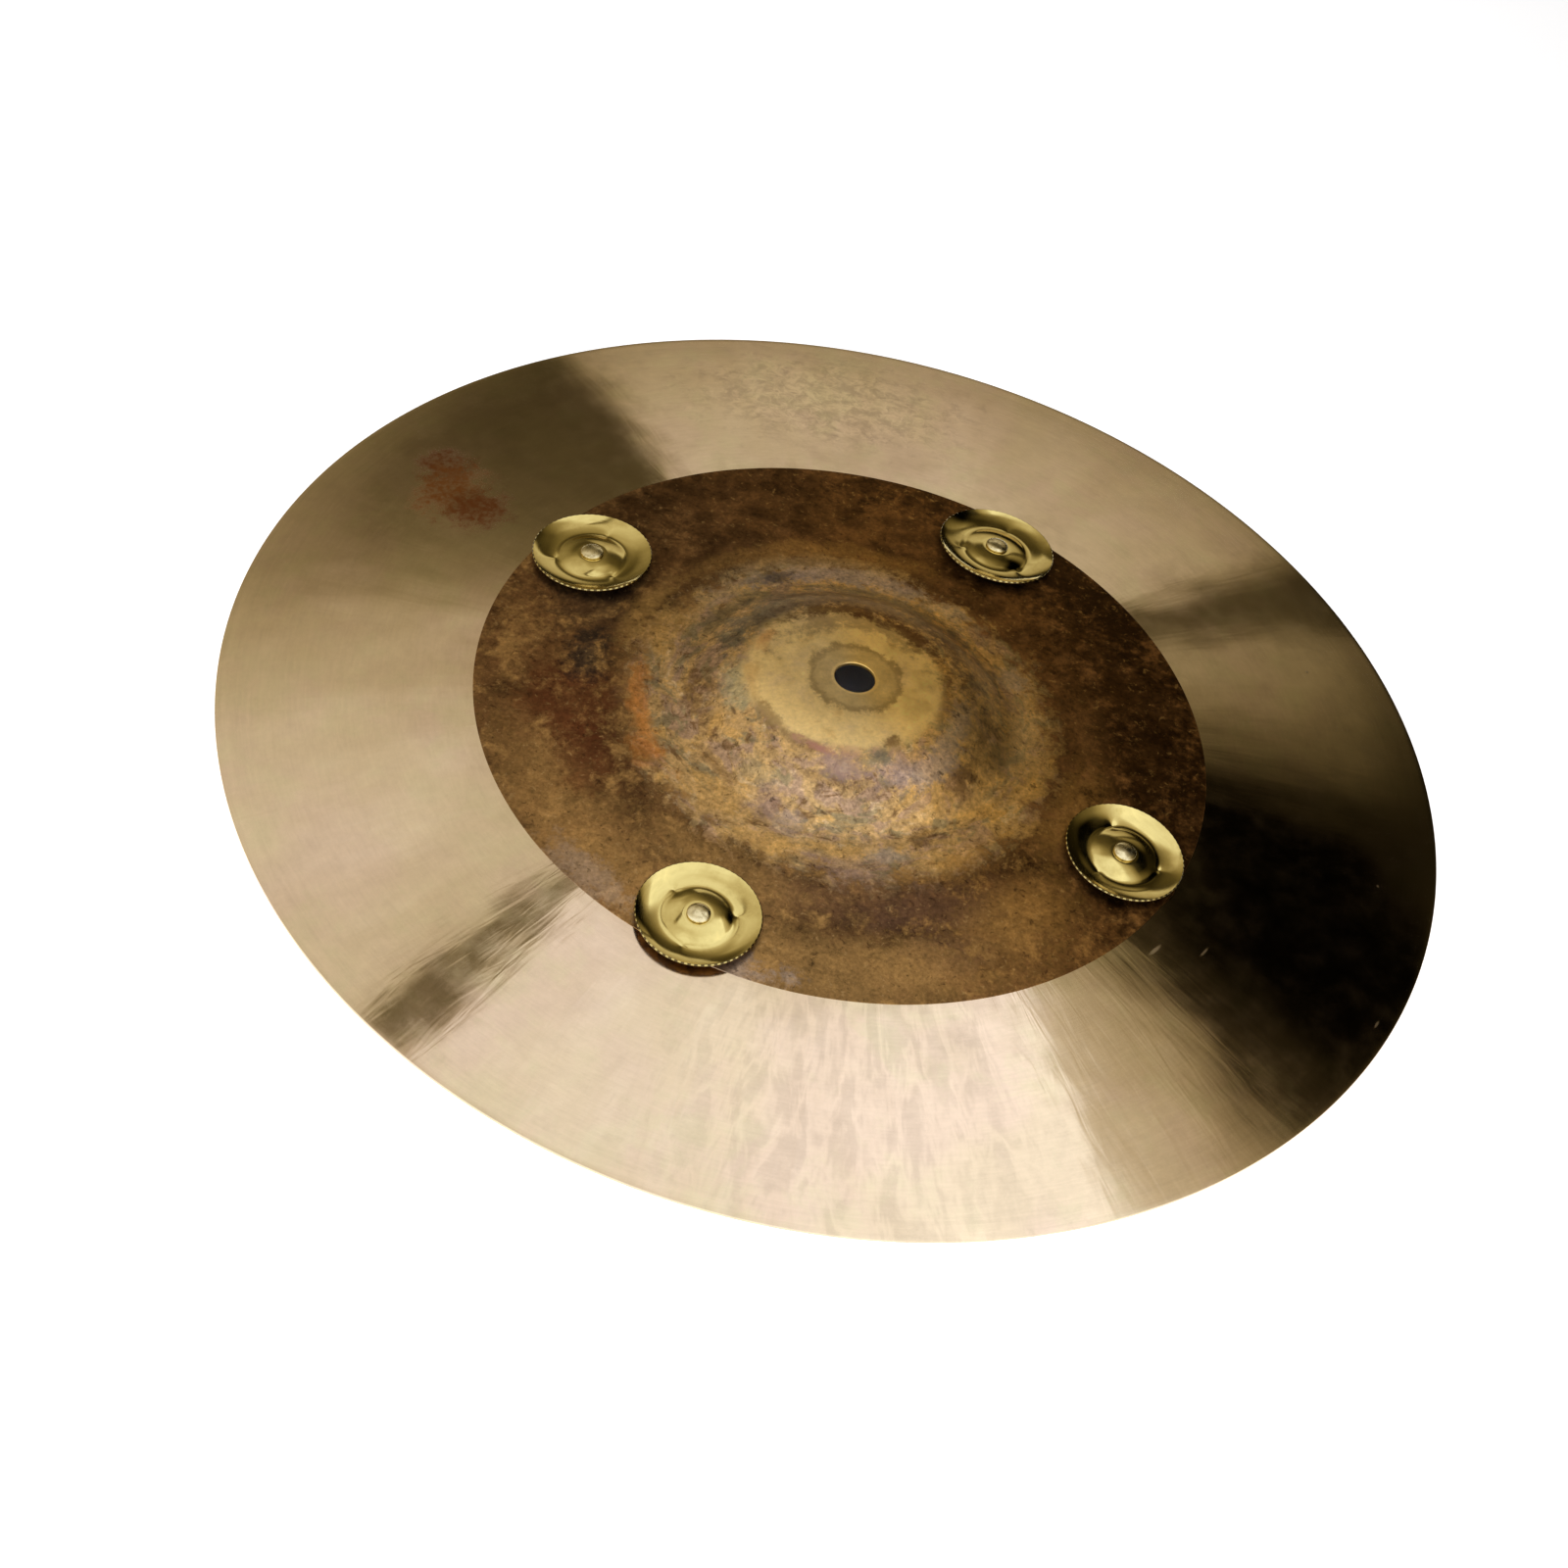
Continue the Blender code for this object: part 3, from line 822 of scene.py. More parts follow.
@dataclass(frozen=True)
class RawBronze(Finish):
    """Unlathed centre with the scale and heat colours of the forge left on it, with painted shade on its far
    and right sides and painted highlights along the bell's far and right edge.
    """

    name: str = "raw_bronze"
    scale_dark: Colour = (0.024, 0.010, 0.0035)
    scale_brown: Colour = (0.185, 0.088, 0.026)
    ochre: Colour = (0.46, 0.250, 0.066)
    gold: Colour = (0.52, 0.315, 0.105)
    rose: Colour = (0.40, 0.245, 0.125)
    olive: Colour = (0.28, 0.205, 0.085)
    umber: Colour = (0.18, 0.092, 0.030)
    straw: Colour = (0.86, 0.590, 0.200)
    felt_grey: Colour = (0.60, 0.415, 0.150)
    felt_dark: Colour = (0.20, 0.120, 0.040)
    maroon: Colour = (0.125, 0.036, 0.011)
    plum: Colour = (0.125, 0.062, 0.030)
    slate: Colour = (0.045, 0.030, 0.018)
    rust: Colour = (0.64, 0.230, 0.034)
    amber: Colour = (0.62, 0.350, 0.088)
    cream: Colour = (0.66, 0.455, 0.205)
    silver: Colour = (0.52, 0.375, 0.230)
    lilac: Colour = (0.33, 0.205, 0.135)
    pink: Colour = (0.42, 0.180, 0.115)
    moss: Colour = (0.19, 0.155, 0.085)
    sage: Colour = (0.46, 0.385, 0.175)
    mist: Colour = (0.44, 0.340, 0.275)
    russet: Colour = (0.25, 0.122, 0.040)
    soot: Colour = (0.085, 0.033, 0.009)
    brown_slope: Colour = (0.21, 0.130, 0.062)
    warm_side: Colour = (1.18, 1.07, 0.82)
    cool_side: Colour = (1.09, 1.11, 1.24)
    crown_radius: float = 32.6 * MM
    crown_offset: float = 3.2 * MM
    bell_radius: float = 70.0 * MM
    bell_offset: float = 4.5 * MM
    felt_radius: float = 14.3 * MM
    hole_lip_radius: float = 7.6 * MM
    dab_size: float = 12.0 * MM
    metal_share: float = 0.9
    dielectric_gloss: float = 0.2
    edge_tint: Colour = (0.85, 0.70, 0.53)
    marks: tuple[Mark, ...] = (
        Mark(112, -92, 12, 34, ochre, 0.50),
        Mark(108, -135, 14, 20, ochre, 0.40),
        Mark(84, -74, 9, 26, plum, 0.35),
        Mark(86, -108, 8, 16, ochre, 0.45),
        Mark(82, -14, 9, 16, ochre, 0.45),
        Mark(88, -60, 7, 12, plum, 0.55),
        Mark(104, -62, 7, 7, plum, 0.60),
        Mark(97, -44, 10, 12, ochre, 0.40),
        Mark(106, -68, 7, 8, ochre, 0.45),
        Mark(117, -101, 5, 9, silver, 0.55),
        Mark(116, -125, 6, 7, silver, 0.35),
        Mark(90, -163, 13, 9, maroon, 0.70),
        Mark(91, -147, 9, 8, maroon, 0.55),
        Mark(86, -177, 6, 7, slate, 0.80),
        Mark(90, 168, 12, 8, slate, 0.45),
        # The three scale_dark marks below cover the right and far right of the disc, partly scale and partly
        # painted shade.
        Mark(106, 25, 20, 38, scale_dark, 0.65),
        Mark(114, 62, 12, 30, scale_dark, 0.70),
        Mark(118, -8, 9, 22, scale_dark, 0.55),
        Mark(80, 15, 7, 12, umber, 0.45),
        Mark(69, -158, 3.2, 17, rust, 0.60),
        Mark(73, -146, 4.0, 5, rust, 0.40),
        Mark(66, 168, 6, 9, amber, 0.60),
        Mark(76, 162, 4, 12, amber, 0.40),
        Mark(70, -103, 4.0, 8, amber, 0.60),
        Mark(63, -122, 6.0, 8, amber, 0.45),
        Mark(70, -50, 4.5, 9, amber, 0.35),
        Mark(66, -14, 3.5, 8, amber, 0.40),
        Mark(56, -108, 5.0, 6, lilac, 0.45),
        Mark(58, -99, 4.0, 5, silver, 0.45),
        Mark(70, -82, 3.5, 9, lilac, 0.35),
        Mark(65, -69, 2.4, 5, silver, 0.60),
        Mark(60, -57, 3.0, 3.0, umber, 0.60),
        Mark(52, -162, 2.4, 14, umber, 0.60),
        Mark(47, -165, 3.0, 8, umber, 0.50),
        Mark(56, -132, 2.2, 9, umber, 0.45),
        Mark(49, -118, 3.0, 8, olive, 0.50),
        Mark(50, -24, 7.0, 18, gold, 0.55),
        Mark(48, -31, 4.0, 8, plum, 0.60),
        Mark(46.0, -2, 2.0, 10, plum, 0.35),
        Mark(41, -42, 4.0, 20, mist, 0.60),
        Mark(41, 4, 6.0, 16, gold, 0.45),
        Mark(43.5, -72, 4.0, 16, plum, 0.35),
        Mark(43, -90, 2.4, 12, umber, 0.40),
        Mark(37, -48, 3.2, 14, lilac, 0.40),
        Mark(37, -14, 3.2, 18, silver, 0.55),
        Mark(39, -160, 4.0, 16, sage, 0.65),
        Mark(42, 142, 7.5, 30, moss, 0.80),
        Mark(54, 148, 4.0, 20, olive, 0.60),
        Mark(48, 84, 9.0, 36, moss, 0.70),
        Mark(46, 36, 7.0, 22, brown_slope, 0.60),
        Mark(38.5, 90, 5.0, 50, brown_slope, 0.80),
        # From here on, the mist, silver and lilac marks along the far and right edge of the bell are painted
        # highlights of its bend.
        Mark(62.5, 96, 4.2, 26, mist, 0.70),
        Mark(69, 110, 3.6, 26, cream, 0.35),
        Mark(75, 112, 4.5, 34, ochre, 0.45),
        Mark(58.0, 84, 2.4, 8, silver, 0.45),
        Mark(62, 122, 2.6, 3.5, slate, 0.55),
        Mark(62, 68, 3.0, 8, cream, 0.50),
        Mark(62, 52, 3.4, 7, lilac, 0.40),
        Mark(60, 31, 5.0, 5, silver, 0.65),
        Mark(59, 10, 5.0, 14, cream, 0.40),
        Mark(62, 142, 3.6, 8, cream, 0.35),
    )
    crown_marks: tuple[Mark, ...] = (
        Mark(33, 164, 2.2, 10, rust, 0.45),
        Mark(28, 96, 5.0, 50, brown_slope, 0.50),
        Mark(33.6, -165, 2.0, 12, amber, 0.45),
        Mark(34.5, -132, 2.0, 10, umber, 0.55),
        Mark(35.0, -104, 2.2, 12, umber, 0.45),
        Mark(34.0, -100, 1.6, 10, pink, 0.70),
        Mark(38, -86, 4.0, 12, lilac, 0.65),
        Mark(32.0, -84, 2.0, 9, pink, 0.35),
        Mark(28.6, -56, 2.2, 6, umber, 0.80),
        Mark(33.4, -66, 2.6, 7, moss, 0.80),
        Mark(35.4, -72, 1.8, 5, olive, 0.60),
        Mark(31.0, 66, 2.6, 34, soot, 0.80),
        Mark(27.6, 50, 1.6, 9, soot, 0.50),
        Mark(33.4, 104, 2.8, 38, soot, 0.80),
        Mark(41.0, 47, 2.0, 14, soot, 0.45),
        Mark(30.5, 4, 1.8, 16, umber, 0.45),
    )

    def wire(self, graph: Graph, shader: bpy.types.Node) -> None:
        """Lay the scale, the bell's heat colours, the marks and the crown one over another."""
        place = self.place(graph)
        radius, angle = self.polar(graph, place)
        polar = graph.node("ShaderNodeCombineXYZ", {0: radius, 1: angle}).outputs[0]
        coarse = graph.noise(place, 30 * MM, 8.0, 0.66, 0.3, seed=21.0)
        middle = graph.noise(place, 9 * MM, 7.0, 0.72, 0.4, seed=34.0)
        speck = graph.noise(place, 3.0 * MM, 5.0, 0.75, seed=55.0)
        grain = graph.noise(place, 1.2 * MM, 2.0, 0.6, seed=56.0)
        centred = graph.maths("SUBTRACT", middle, 0.5)
        fine = graph.maths("SUBTRACT", speck, 0.5)
        torn = graph.maths(
            "ADD", graph.maths("MULTIPLY", centred, 3.6), graph.maths("MULTIPLY", fine, 3.0)
        )
        body = graph.blend(
            graph.ramp_between(coarse, 0.36, 0.58, wave=Wave.LINEAR), self.scale_dark, self.scale_brown
        )
        # Painted shade: the lighter patches turn from ochre to darker russet on the far side.
        outward = graph.vector("NORMALIZE", graph.vector("MULTIPLY", place, (1.0, 1.0, 0.0)))
        beyond = graph.ramp_between(
            graph.vector("DOT_PRODUCT", outward, (0.6, 0.8, 0.0)), -0.35, 0.35
        )
        lighter = graph.blend(beyond, self.ochre, self.russet)
        body = graph.blend(graph.ramp_between(middle, 0.44, 0.68, 0.0, 0.75), body, lighter)
        body = self.dabbed_and_far_shaded(graph, place, angle, coarse, body)
        nearer = graph.vector("ADD", place, (0.0, self.bell_offset, 0.0))
        edge = graph.vector("LENGTH", graph.vector("MULTIPLY", nearer, (1.0, 1.0, 0.0)))
        edge = graph.maths("ADD", edge, graph.maths("MULTIPLY", centred, 50 * MM))
        edge = graph.maths("ADD", edge, graph.maths("MULTIPLY", fine, 16 * MM))
        bell = graph.ramp_between(edge, self.bell_radius + 5 * MM, self.bell_radius - 5 * MM)
        body = graph.blend(bell, body, self.heat_colours(graph, place, radius, middle))
        for mark in self.marks:
            body = graph.blend(self.mark_share(graph, polar, mark, torn), body, mark.colour)
        flecks = graph.noise(place, 2.4 * MM, 3.0, 0.7, 0.6, seed=57.0)
        body = graph.blend(graph.ramp_between(flecks, 0.57, 0.70, 0.0, 0.6), body, self.scale_dark)
        body = graph.blend(graph.ramp_between(flecks, 0.42, 0.30, 0.0, 0.4), body, self.gold)
        tone = graph.maths(
            "MULTIPLY",
            graph.ramp_between(speck, 0.3, 0.7, 0.62, 1.38, Wave.LINEAR),
            graph.ramp_between(grain, 0.3, 0.7, 0.76, 1.24, Wave.LINEAR),
        )
        body = graph.vector("SCALE", body, scale=tone)
        body = self.crowned(graph, place, radius, torn, tone, body)
        for mark in self.crown_marks:
            body = graph.blend(self.mark_share(graph, polar, mark, torn), body, mark.colour)
        graph.feed(shader.inputs["Base Color"], self.sided(graph, place, body))
        shader.inputs["Metallic"].default_value = self.metal_share
        shader.inputs["Specular IOR Level"].default_value = self.dielectric_gloss
        shader.inputs["Specular Tint"].default_value = (*self.edge_tint, 1.0)
        graph.feed(shader.inputs["Roughness"], graph.ramp_between(middle, 0.3, 0.7, 0.30, 0.48))
        bump = graph.node(
            "ShaderNodeBump",
            {"Height": speck, "Distance": 0.07 * MM, "Strength": 0.6},
        )
        graph.feed(shader.inputs["Normal"], bump.outputs[0])

    def heat_colours(self, graph: Graph, place: Socket, radius: Socket, middle: Socket) -> Socket:
        """Gold, rose and olive that the torch left on the bell, drawn out round the axis.

        Args:
            graph: tree that the nodes go into.
            place: object coordinates.
            radius: distance from the axis.
            middle: noise of middling size; not used.

        Returns:
            The colour of the bell and its foot.
        """
        outward = graph.vector("NORMALIZE", graph.vector("MULTIPLY", place, (1.0, 1.0, 0.0)))
        around = graph.vector("SCALE", outward, scale=3.4)
        across = graph.node(
            "ShaderNodeCombineXYZ", {2: graph.maths("DIVIDE", radius, 9.0 * MM)}
        ).outputs[0]
        drawn = graph.vector("ADD", around, across)
        first = graph.noise(drawn, 1.0, 8.0, 0.60, 1.2, seed=61.0)
        second = graph.noise(drawn, 0.8, 8.0, 0.62, 1.2, seed=62.0)
        third = graph.noise(drawn, 0.55, 7.0, 0.66, 1.0, seed=63.0)
        heat = graph.blend(graph.ramp_between(first, 0.50, 0.58, 0.0, 0.85), self.gold, self.rose)
        heat = graph.blend(graph.ramp_between(second, 0.52, 0.60, 0.0, 0.85), heat, self.olive)
        heat = graph.blend(graph.ramp_between(third, 0.46, 0.36, 0.0, 0.85), heat, self.umber)
        heat = graph.blend(graph.ramp_between(first, 0.46, 0.36, 0.0, 0.7), heat, self.amber)
        return graph.blend(graph.ramp_between(third, 0.56, 0.66, 0.0, 0.7), heat, self.cream)

    def sided(self, graph: Graph, place: Socket, body: Socket) -> Socket:
        """Body warmed towards the far right and cooled opposite it.

        Args:
            graph: tree that the nodes go into.
            place: object coordinates.
            body: colour before the change.

        Returns:
            The changed colour.
        """
        outward = graph.vector("NORMALIZE", graph.vector("MULTIPLY", place, (1.0, 1.0, 0.0)))
        toward = graph.vector("DOT_PRODUCT", outward, (0.87, 0.50, 0.0))
        tint = graph.blend(graph.ramp_between(toward, -0.4, 0.6), self.cool_side, self.warm_side)
        return graph.vector("MULTIPLY", body, tint)

    def dabbed_and_far_shaded(
        self, graph: Graph, place: Socket, angle: Socket, coarse: Socket, body: Socket
    ) -> Socket:
        """Scale with dark dabs laid on its far side only, partly spots of scale and partly painted shade on
        that side.
        """
        cells = graph.node(
            "ShaderNodeTexVoronoi",
            {"Vector": place, "Scale": 1.0 / self.dab_size, "Randomness": 0.95},
            voronoi_dimensions="2D",
        ).outputs["Distance"]
        spot = graph.ramp_between(cells, 0.50, 0.12, 0.0, 0.5)
        off = graph.maths("SUBTRACT", angle, degrees(95.0))
        wrapped = graph.maths("ABSOLUTE", graph.maths("WRAP", off, math.pi, -math.pi))
        far = graph.ramp_between(wrapped, degrees(85.0), degrees(35.0))
        share = graph.maths("MULTIPLY", spot, far)
        share = graph.maths("MULTIPLY", share, graph.ramp_between(coarse, 0.38, 0.5))
        return graph.blend(share, body, self.scale_dark)

    def crowned(
        self, graph: Graph, place: Socket, radius: Socket, torn: Socket, tone: Socket, body: Socket
    ) -> Socket:
        """Body with the smoother straw crown and its worn felt ring laid over it.

        Args:
            graph: tree that the nodes go into.
            place: object coordinates.
            radius: distance from the axis.
            torn: noise that tears edges.
            tone: grain of the scale.
            body: colour outside the crown.

        Returns:
            The colour with the crown.
        """
        shifted = graph.vector("ADD", place, (self.crown_offset, 0.0, 0.0))
        reach = graph.vector("LENGTH", graph.vector("MULTIPLY", shifted, (1.0, 1.0, 0.0)))
        edge = graph.maths("ADD", reach, graph.maths("MULTIPLY", torn, 3.2 * MM))
        crown = graph.ramp_between(edge, self.crown_radius + 2.6 * MM, self.crown_radius - 2.6 * MM)
        cloud = graph.noise(place, 9 * MM, 5.0, 0.6, 0.6, seed=64.0)
        top = graph.blend(graph.ramp_between(cloud, 0.45, 0.7, 0.0, 0.5), self.straw, self.cream)
        top = graph.blend(graph.ramp_between(cloud, 0.42, 0.28, 0.0, 0.5), top, self.amber)
        uneven = graph.maths("ADD", radius, graph.maths("MULTIPLY", torn, 2.6 * MM))
        seat = graph.ramp_between(uneven, self.felt_radius + 1.5 * MM, self.felt_radius - 2.5 * MM)
        top = graph.blend(graph.maths("MULTIPLY", seat, 0.65), top, self.felt_grey)
        worn = graph.band(uneven, self.felt_radius, 0.2 * MM, 2.2 * MM)
        top = graph.blend(graph.maths("MULTIPLY", worn, 0.55), top, self.felt_dark)
        lip = graph.ramp_between(radius, self.hole_lip_radius + 0.5 * MM, self.hole_lip_radius)
        top = graph.blend(graph.maths("MULTIPLY", lip, 0.8), top, self.straw)
        smooth = graph.ramp_between(tone, 0.5, 1.5, 0.84, 1.16, Wave.LINEAR)
        top = graph.vector("SCALE", top, scale=smooth)
        return graph.blend(crown, body, top)


@dataclass(frozen=True)
class UnderBronze(Finish):
    """Underside, hammered and left with a dull lathe skin."""

    name: str = "under_bronze"
    clean: Colour = (0.56, 0.41, 0.22)
    stained: Colour = (0.30, 0.19, 0.09)

    def wire(self, graph: Graph, shader: bpy.types.Node) -> None:
        """Blend clean and stained metal in rings and clouds."""
        place = self.place(graph)
        radius, _ = self.polar(graph, place)
        cloud = graph.noise(place, 34 * MM, 5.0, 0.6, seed=70.0)
        ring_place = graph.node("ShaderNodeCombineXYZ", {0: radius}).outputs[0]
        rings = graph.noise(ring_place, 3.0 * MM, 3.0, 0.6, seed=71.0)
        share = graph.ramp_between(graph.blend_values(0.35, cloud, rings), 0.42, 0.62)
        graph.feed(shader.inputs["Base Color"], graph.blend(share, self.clean, self.stained))
        shader.inputs["Metallic"].default_value = 1.0
        graph.feed(shader.inputs["Roughness"], graph.ramp_between(cloud, 0.35, 0.65, 0.3, 0.45))
        shader.inputs["Anisotropic"].default_value = 0.7
        shader.inputs["Anisotropic Rotation"].default_value = 0.25
        graph.feed(shader.inputs["Tangent"], self.radial_tangent(graph))
        bump = graph.node("ShaderNodeBump", {"Height": rings, "Distance": 0.04 * MM})
        graph.feed(shader.inputs["Normal"], bump.outputs[0])


@dataclass(frozen=True)
class JingleBrass(Finish):
    """Bright yellow brass sheet with the press's faint circular marks."""

    name: str = "jingle_brass"
    bright: Colour = (0.76, 0.60, 0.205)
    tarnish: Colour = (0.52, 0.37, 0.10)
    # Painted shade colour for the notches of the lip.
    notch_shade: Colour = (0.085, 0.055, 0.020)
    lip_radius: float = 19.62 * MM
    notch_count: int = 60

    def wire(self, graph: Graph, shader: bpy.types.Node) -> None:
        """Blend bright and tarnished brass, paint shade into the notches of the lip and add the turning marks.
        """
        place = self.place(graph)
        cloud = graph.noise(place, 7 * MM, 5.0, 0.6, seed=90.0)
        share = graph.ramp_between(cloud, 0.5, 0.75, 0.0, 0.6)
        turned = graph.node("ShaderNodeUVMap", uv_map=TURNED_UV).outputs[0]
        about, radius, _ = graph.node("ShaderNodeSeparateXYZ", {0: turned}).outputs
        wave = graph.maths("COSINE", graph.maths("MULTIPLY", about, math.tau * self.notch_count))
        on_lip = graph.maths("GREATER_THAN", radius, self.lip_radius)
        # Painted shade: the lip turns near black between its notches.
        notch_shaded = graph.maths("MULTIPLY", on_lip, graph.ramp_between(wave, 0.35, -0.15, 0.25, 0.95))
        brass = graph.blend(share, self.bright, self.tarnish)
        graph.feed(shader.inputs["Base Color"], graph.blend(notch_shaded, brass, self.notch_shade))
        shader.inputs["Metallic"].default_value = 1.0
        graph.feed(shader.inputs["Roughness"], graph.ramp_between(cloud, 0.35, 0.7, 0.08, 0.16))
        ring_place = graph.node("ShaderNodeCombineXYZ", {0: radius}).outputs[0]
        rings = graph.noise(ring_place, 0.5 * MM, 2.0, 0.5, seed=91.0)
        bump = graph.node("ShaderNodeBump", {"Height": rings, "Distance": 0.006 * MM})
        graph.feed(shader.inputs["Normal"], bump.outputs[0])


@dataclass(frozen=True)
class TarnishAndShadeBrass(Finish):
    """Lower face of a jingle, partly tarnished and partly painted dark as the shade in the gap beneath it."""

    name: str = "tarnish_and_shade_brass"
    dull: Colour = (0.21, 0.125, 0.040)
    dark: Colour = (0.075, 0.042, 0.016)

    def wire(self, graph: Graph, shader: bpy.types.Node) -> None:
        """Blend dull and dark brass in clouds."""
        cloud = graph.noise(self.place(graph), 6 * MM, 5.0, 0.6, seed=95.0)
        share = graph.ramp_between(cloud, 0.38, 0.6)
        # Painted shade: the dark base colour also stands in for the shadow between the jingle and the shell.
        graph.feed(shader.inputs["Base Color"], graph.blend(share, self.dull, self.dark))
        shader.inputs["Metallic"].default_value = 1.0
        graph.feed(shader.inputs["Roughness"], graph.ramp_between(cloud, 0.35, 0.7, 0.36, 0.5))


@dataclass(frozen=True)
class RivetNickel(Finish):
    """Nickel plate on the rivets, scuffed where the jingles ride."""

    name: str = "rivet_nickel"
    plate: Colour = (0.80, 0.67, 0.36)
    scuffed: Colour = (0.46, 0.36, 0.16)

    def wire(self, graph: Graph, shader: bpy.types.Node) -> None:
        """Blend plate and scuffed metal."""
        place = self.place(graph)
        cloud = graph.noise(place, 1.6 * MM, 4.0, 0.6, seed=110.0)
        share = graph.ramp_between(cloud, 0.45, 0.7)
        graph.feed(shader.inputs["Base Color"], graph.blend(share, self.plate, self.scuffed))
        shader.inputs["Metallic"].default_value = 1.0
        graph.feed(shader.inputs["Roughness"], graph.ramp_between(cloud, 0.35, 0.7, 0.16, 0.32))
        bump = graph.node("ShaderNodeBump", {"Height": cloud, "Distance": 0.01 * MM})
        graph.feed(shader.inputs["Normal"], bump.outputs[0])


@dataclass
class Shell:
    """The hammered bronze sheet of the cymbal itself."""

    hole_diameter: float = 13.5 * MM
    felt_seat_diameter: float = 28.6 * MM
    crown_diameter: float = 62.0 * MM
    shoulder_diameter: float = 96.0 * MM
    bell_diameter: float = 120.0 * MM
    raw_disc_diameter: float = 243.0 * MM
    diameter: float = 406.4 * MM
    crown_slope: float = degrees(9.0)
    shoulder_slope: float = degrees(38.0)
    bow_slope_at_bell: float = degrees(5.5)
    bow_slope_at_band: float = degrees(6.5)
    bow_slope_at_rim: float = degrees(10.5)
    bell_thickness: float = 1.2 * MM
    rim_thickness: float = 0.85 * MM
    rim_rounding: float = 0.25 * MM
    hole_edge_break: float = 0.2 * MM
    lathe_depth: float = 0.15 * MM
    segments: int = 360
    ring_spacing: float = 1.7 * MM
    under_ring_spacing: float = 3.4 * MM
    rivet_hole_diameter: float = 5.0 * MM
    drill_reach: float = 4.0 * MM
    drill_segments: int = 32
    sharp_angle: float = degrees(35.0)

    def profile(self) -> Profile:
        """Arcs of the top surface from the centre to the rim."""
        return Profile((
            Arc(self.felt_seat_diameter / 2, 0.0, 0.0),
            Arc(self.crown_diameter / 2, 0.0, self.crown_slope),
            Arc(self.shoulder_diameter / 2, self.crown_slope, self.shoulder_slope),
            Arc(self.bell_diameter / 2, self.shoulder_slope, self.bow_slope_at_bell),
            Arc(self.raw_disc_diameter / 2, self.bow_slope_at_bell, self.bow_slope_at_band),
            Arc(self.diameter / 2, self.bow_slope_at_band, self.bow_slope_at_rim),
        ))

    def thickness(self, radius: float) -> float:
        """Thickness of the finished sheet at a radius."""
        inner = self.felt_seat_diameter / 2
        share = max(0.0, (radius - inner) / (self.diameter / 2 - inner))
        return self.bell_thickness + share * (self.rim_thickness - self.bell_thickness)

    def sheet_depth(self, radius: float) -> float:
        """Thickness of the sheet measured straight down."""
        return self.thickness(radius) / math.cos(self.profile().fall(radius)[1])

    @property
    def foot_radius(self) -> float:
        """Radius of the ring that the shell stands on."""
        return self.diameter / 2 - self.rim_rounding

    def top(self, radius: float) -> float:
        """Height of the lathed top at a radius."""
        fall = self.profile().fall
        foot = self.foot_radius
        return fall(foot)[0] + self.sheet_depth(foot) - fall(radius)[0]

    def under(self, radius: float) -> float:
        """Height of the underside at a radius."""
        return self.top(radius) - self.sheet_depth(radius)

    def outline(self) -> list[tuple[float, float]]:
        """Closed outline: over the top to the rim, then back under it to the hole."""
        hole = self.hole_diameter / 2
        step = self.raw_disc_diameter / 2
        rim = self.diameter / 2
        start = hole + self.hole_edge_break
        profile = self.profile()
        points = []
        for radius in profile.rings(start, step, self.ring_spacing):
            points.append((radius, self.top(radius) + self.lathe_depth))
        for radius in profile.rings(step + self.lathe_depth, self.foot_radius, self.ring_spacing):
            points.append((radius, self.top(radius)))
        points += self.rolled_rim(rim)
        for radius in reversed(profile.rings(start, self.foot_radius, self.under_ring_spacing)):
            points.append((radius, self.under(radius)))
        top_height = self.top(0.0) + self.lathe_depth
        points.append((hole, self.under(0.0) + self.hole_edge_break))
        points.append((hole, top_height - self.hole_edge_break))
        return points

    def rolled_rim(self, rim: float, steps: int = 3) -> list[tuple[float, float]]:
        """Points round the rim's edge between its top and its foot."""
        rounding = self.rim_rounding
        upper = self.top(self.foot_radius) - rounding
        lower = self.under(self.foot_radius) + rounding
        points = []
        for centre, first in ((upper, 0), (lower, steps)):
            for step in range(1 if first == 0 else 0, steps + (1 if first == 0 else 0)):
                turn = math.pi / 2 * (1 - (first + step) / steps)
                radius = rim - rounding + rounding * math.cos(turn)
                points.append((radius, centre + rounding * math.sin(turn)))
        return points

    def drills(self, stations: Sequence[StationPlace]) -> bpy.types.Object:
        """One object that holds a closed round drill at every station.

        Args:
            stations: places of the rivets.

        Returns:
            The object, which is removed after the holes are cut.
        """
        drilled = bmesh.new()
        for station in stations:
            bmesh.ops.create_cone(
                drilled, cap_ends=True, segments=self.drill_segments,
                radius1=self.rivet_hole_diameter / 2, radius2=self.rivet_hole_diameter / 2,
                depth=2 * self.drill_reach, matrix=station.matrix(),
            )
        mesh = bpy.data.meshes.new("drills")
        drilled.to_mesh(mesh)
        drilled.free()
        drills = bpy.data.objects.new("drills", mesh)
        bpy.context.scene.collection.objects.link(drills)
        return drills

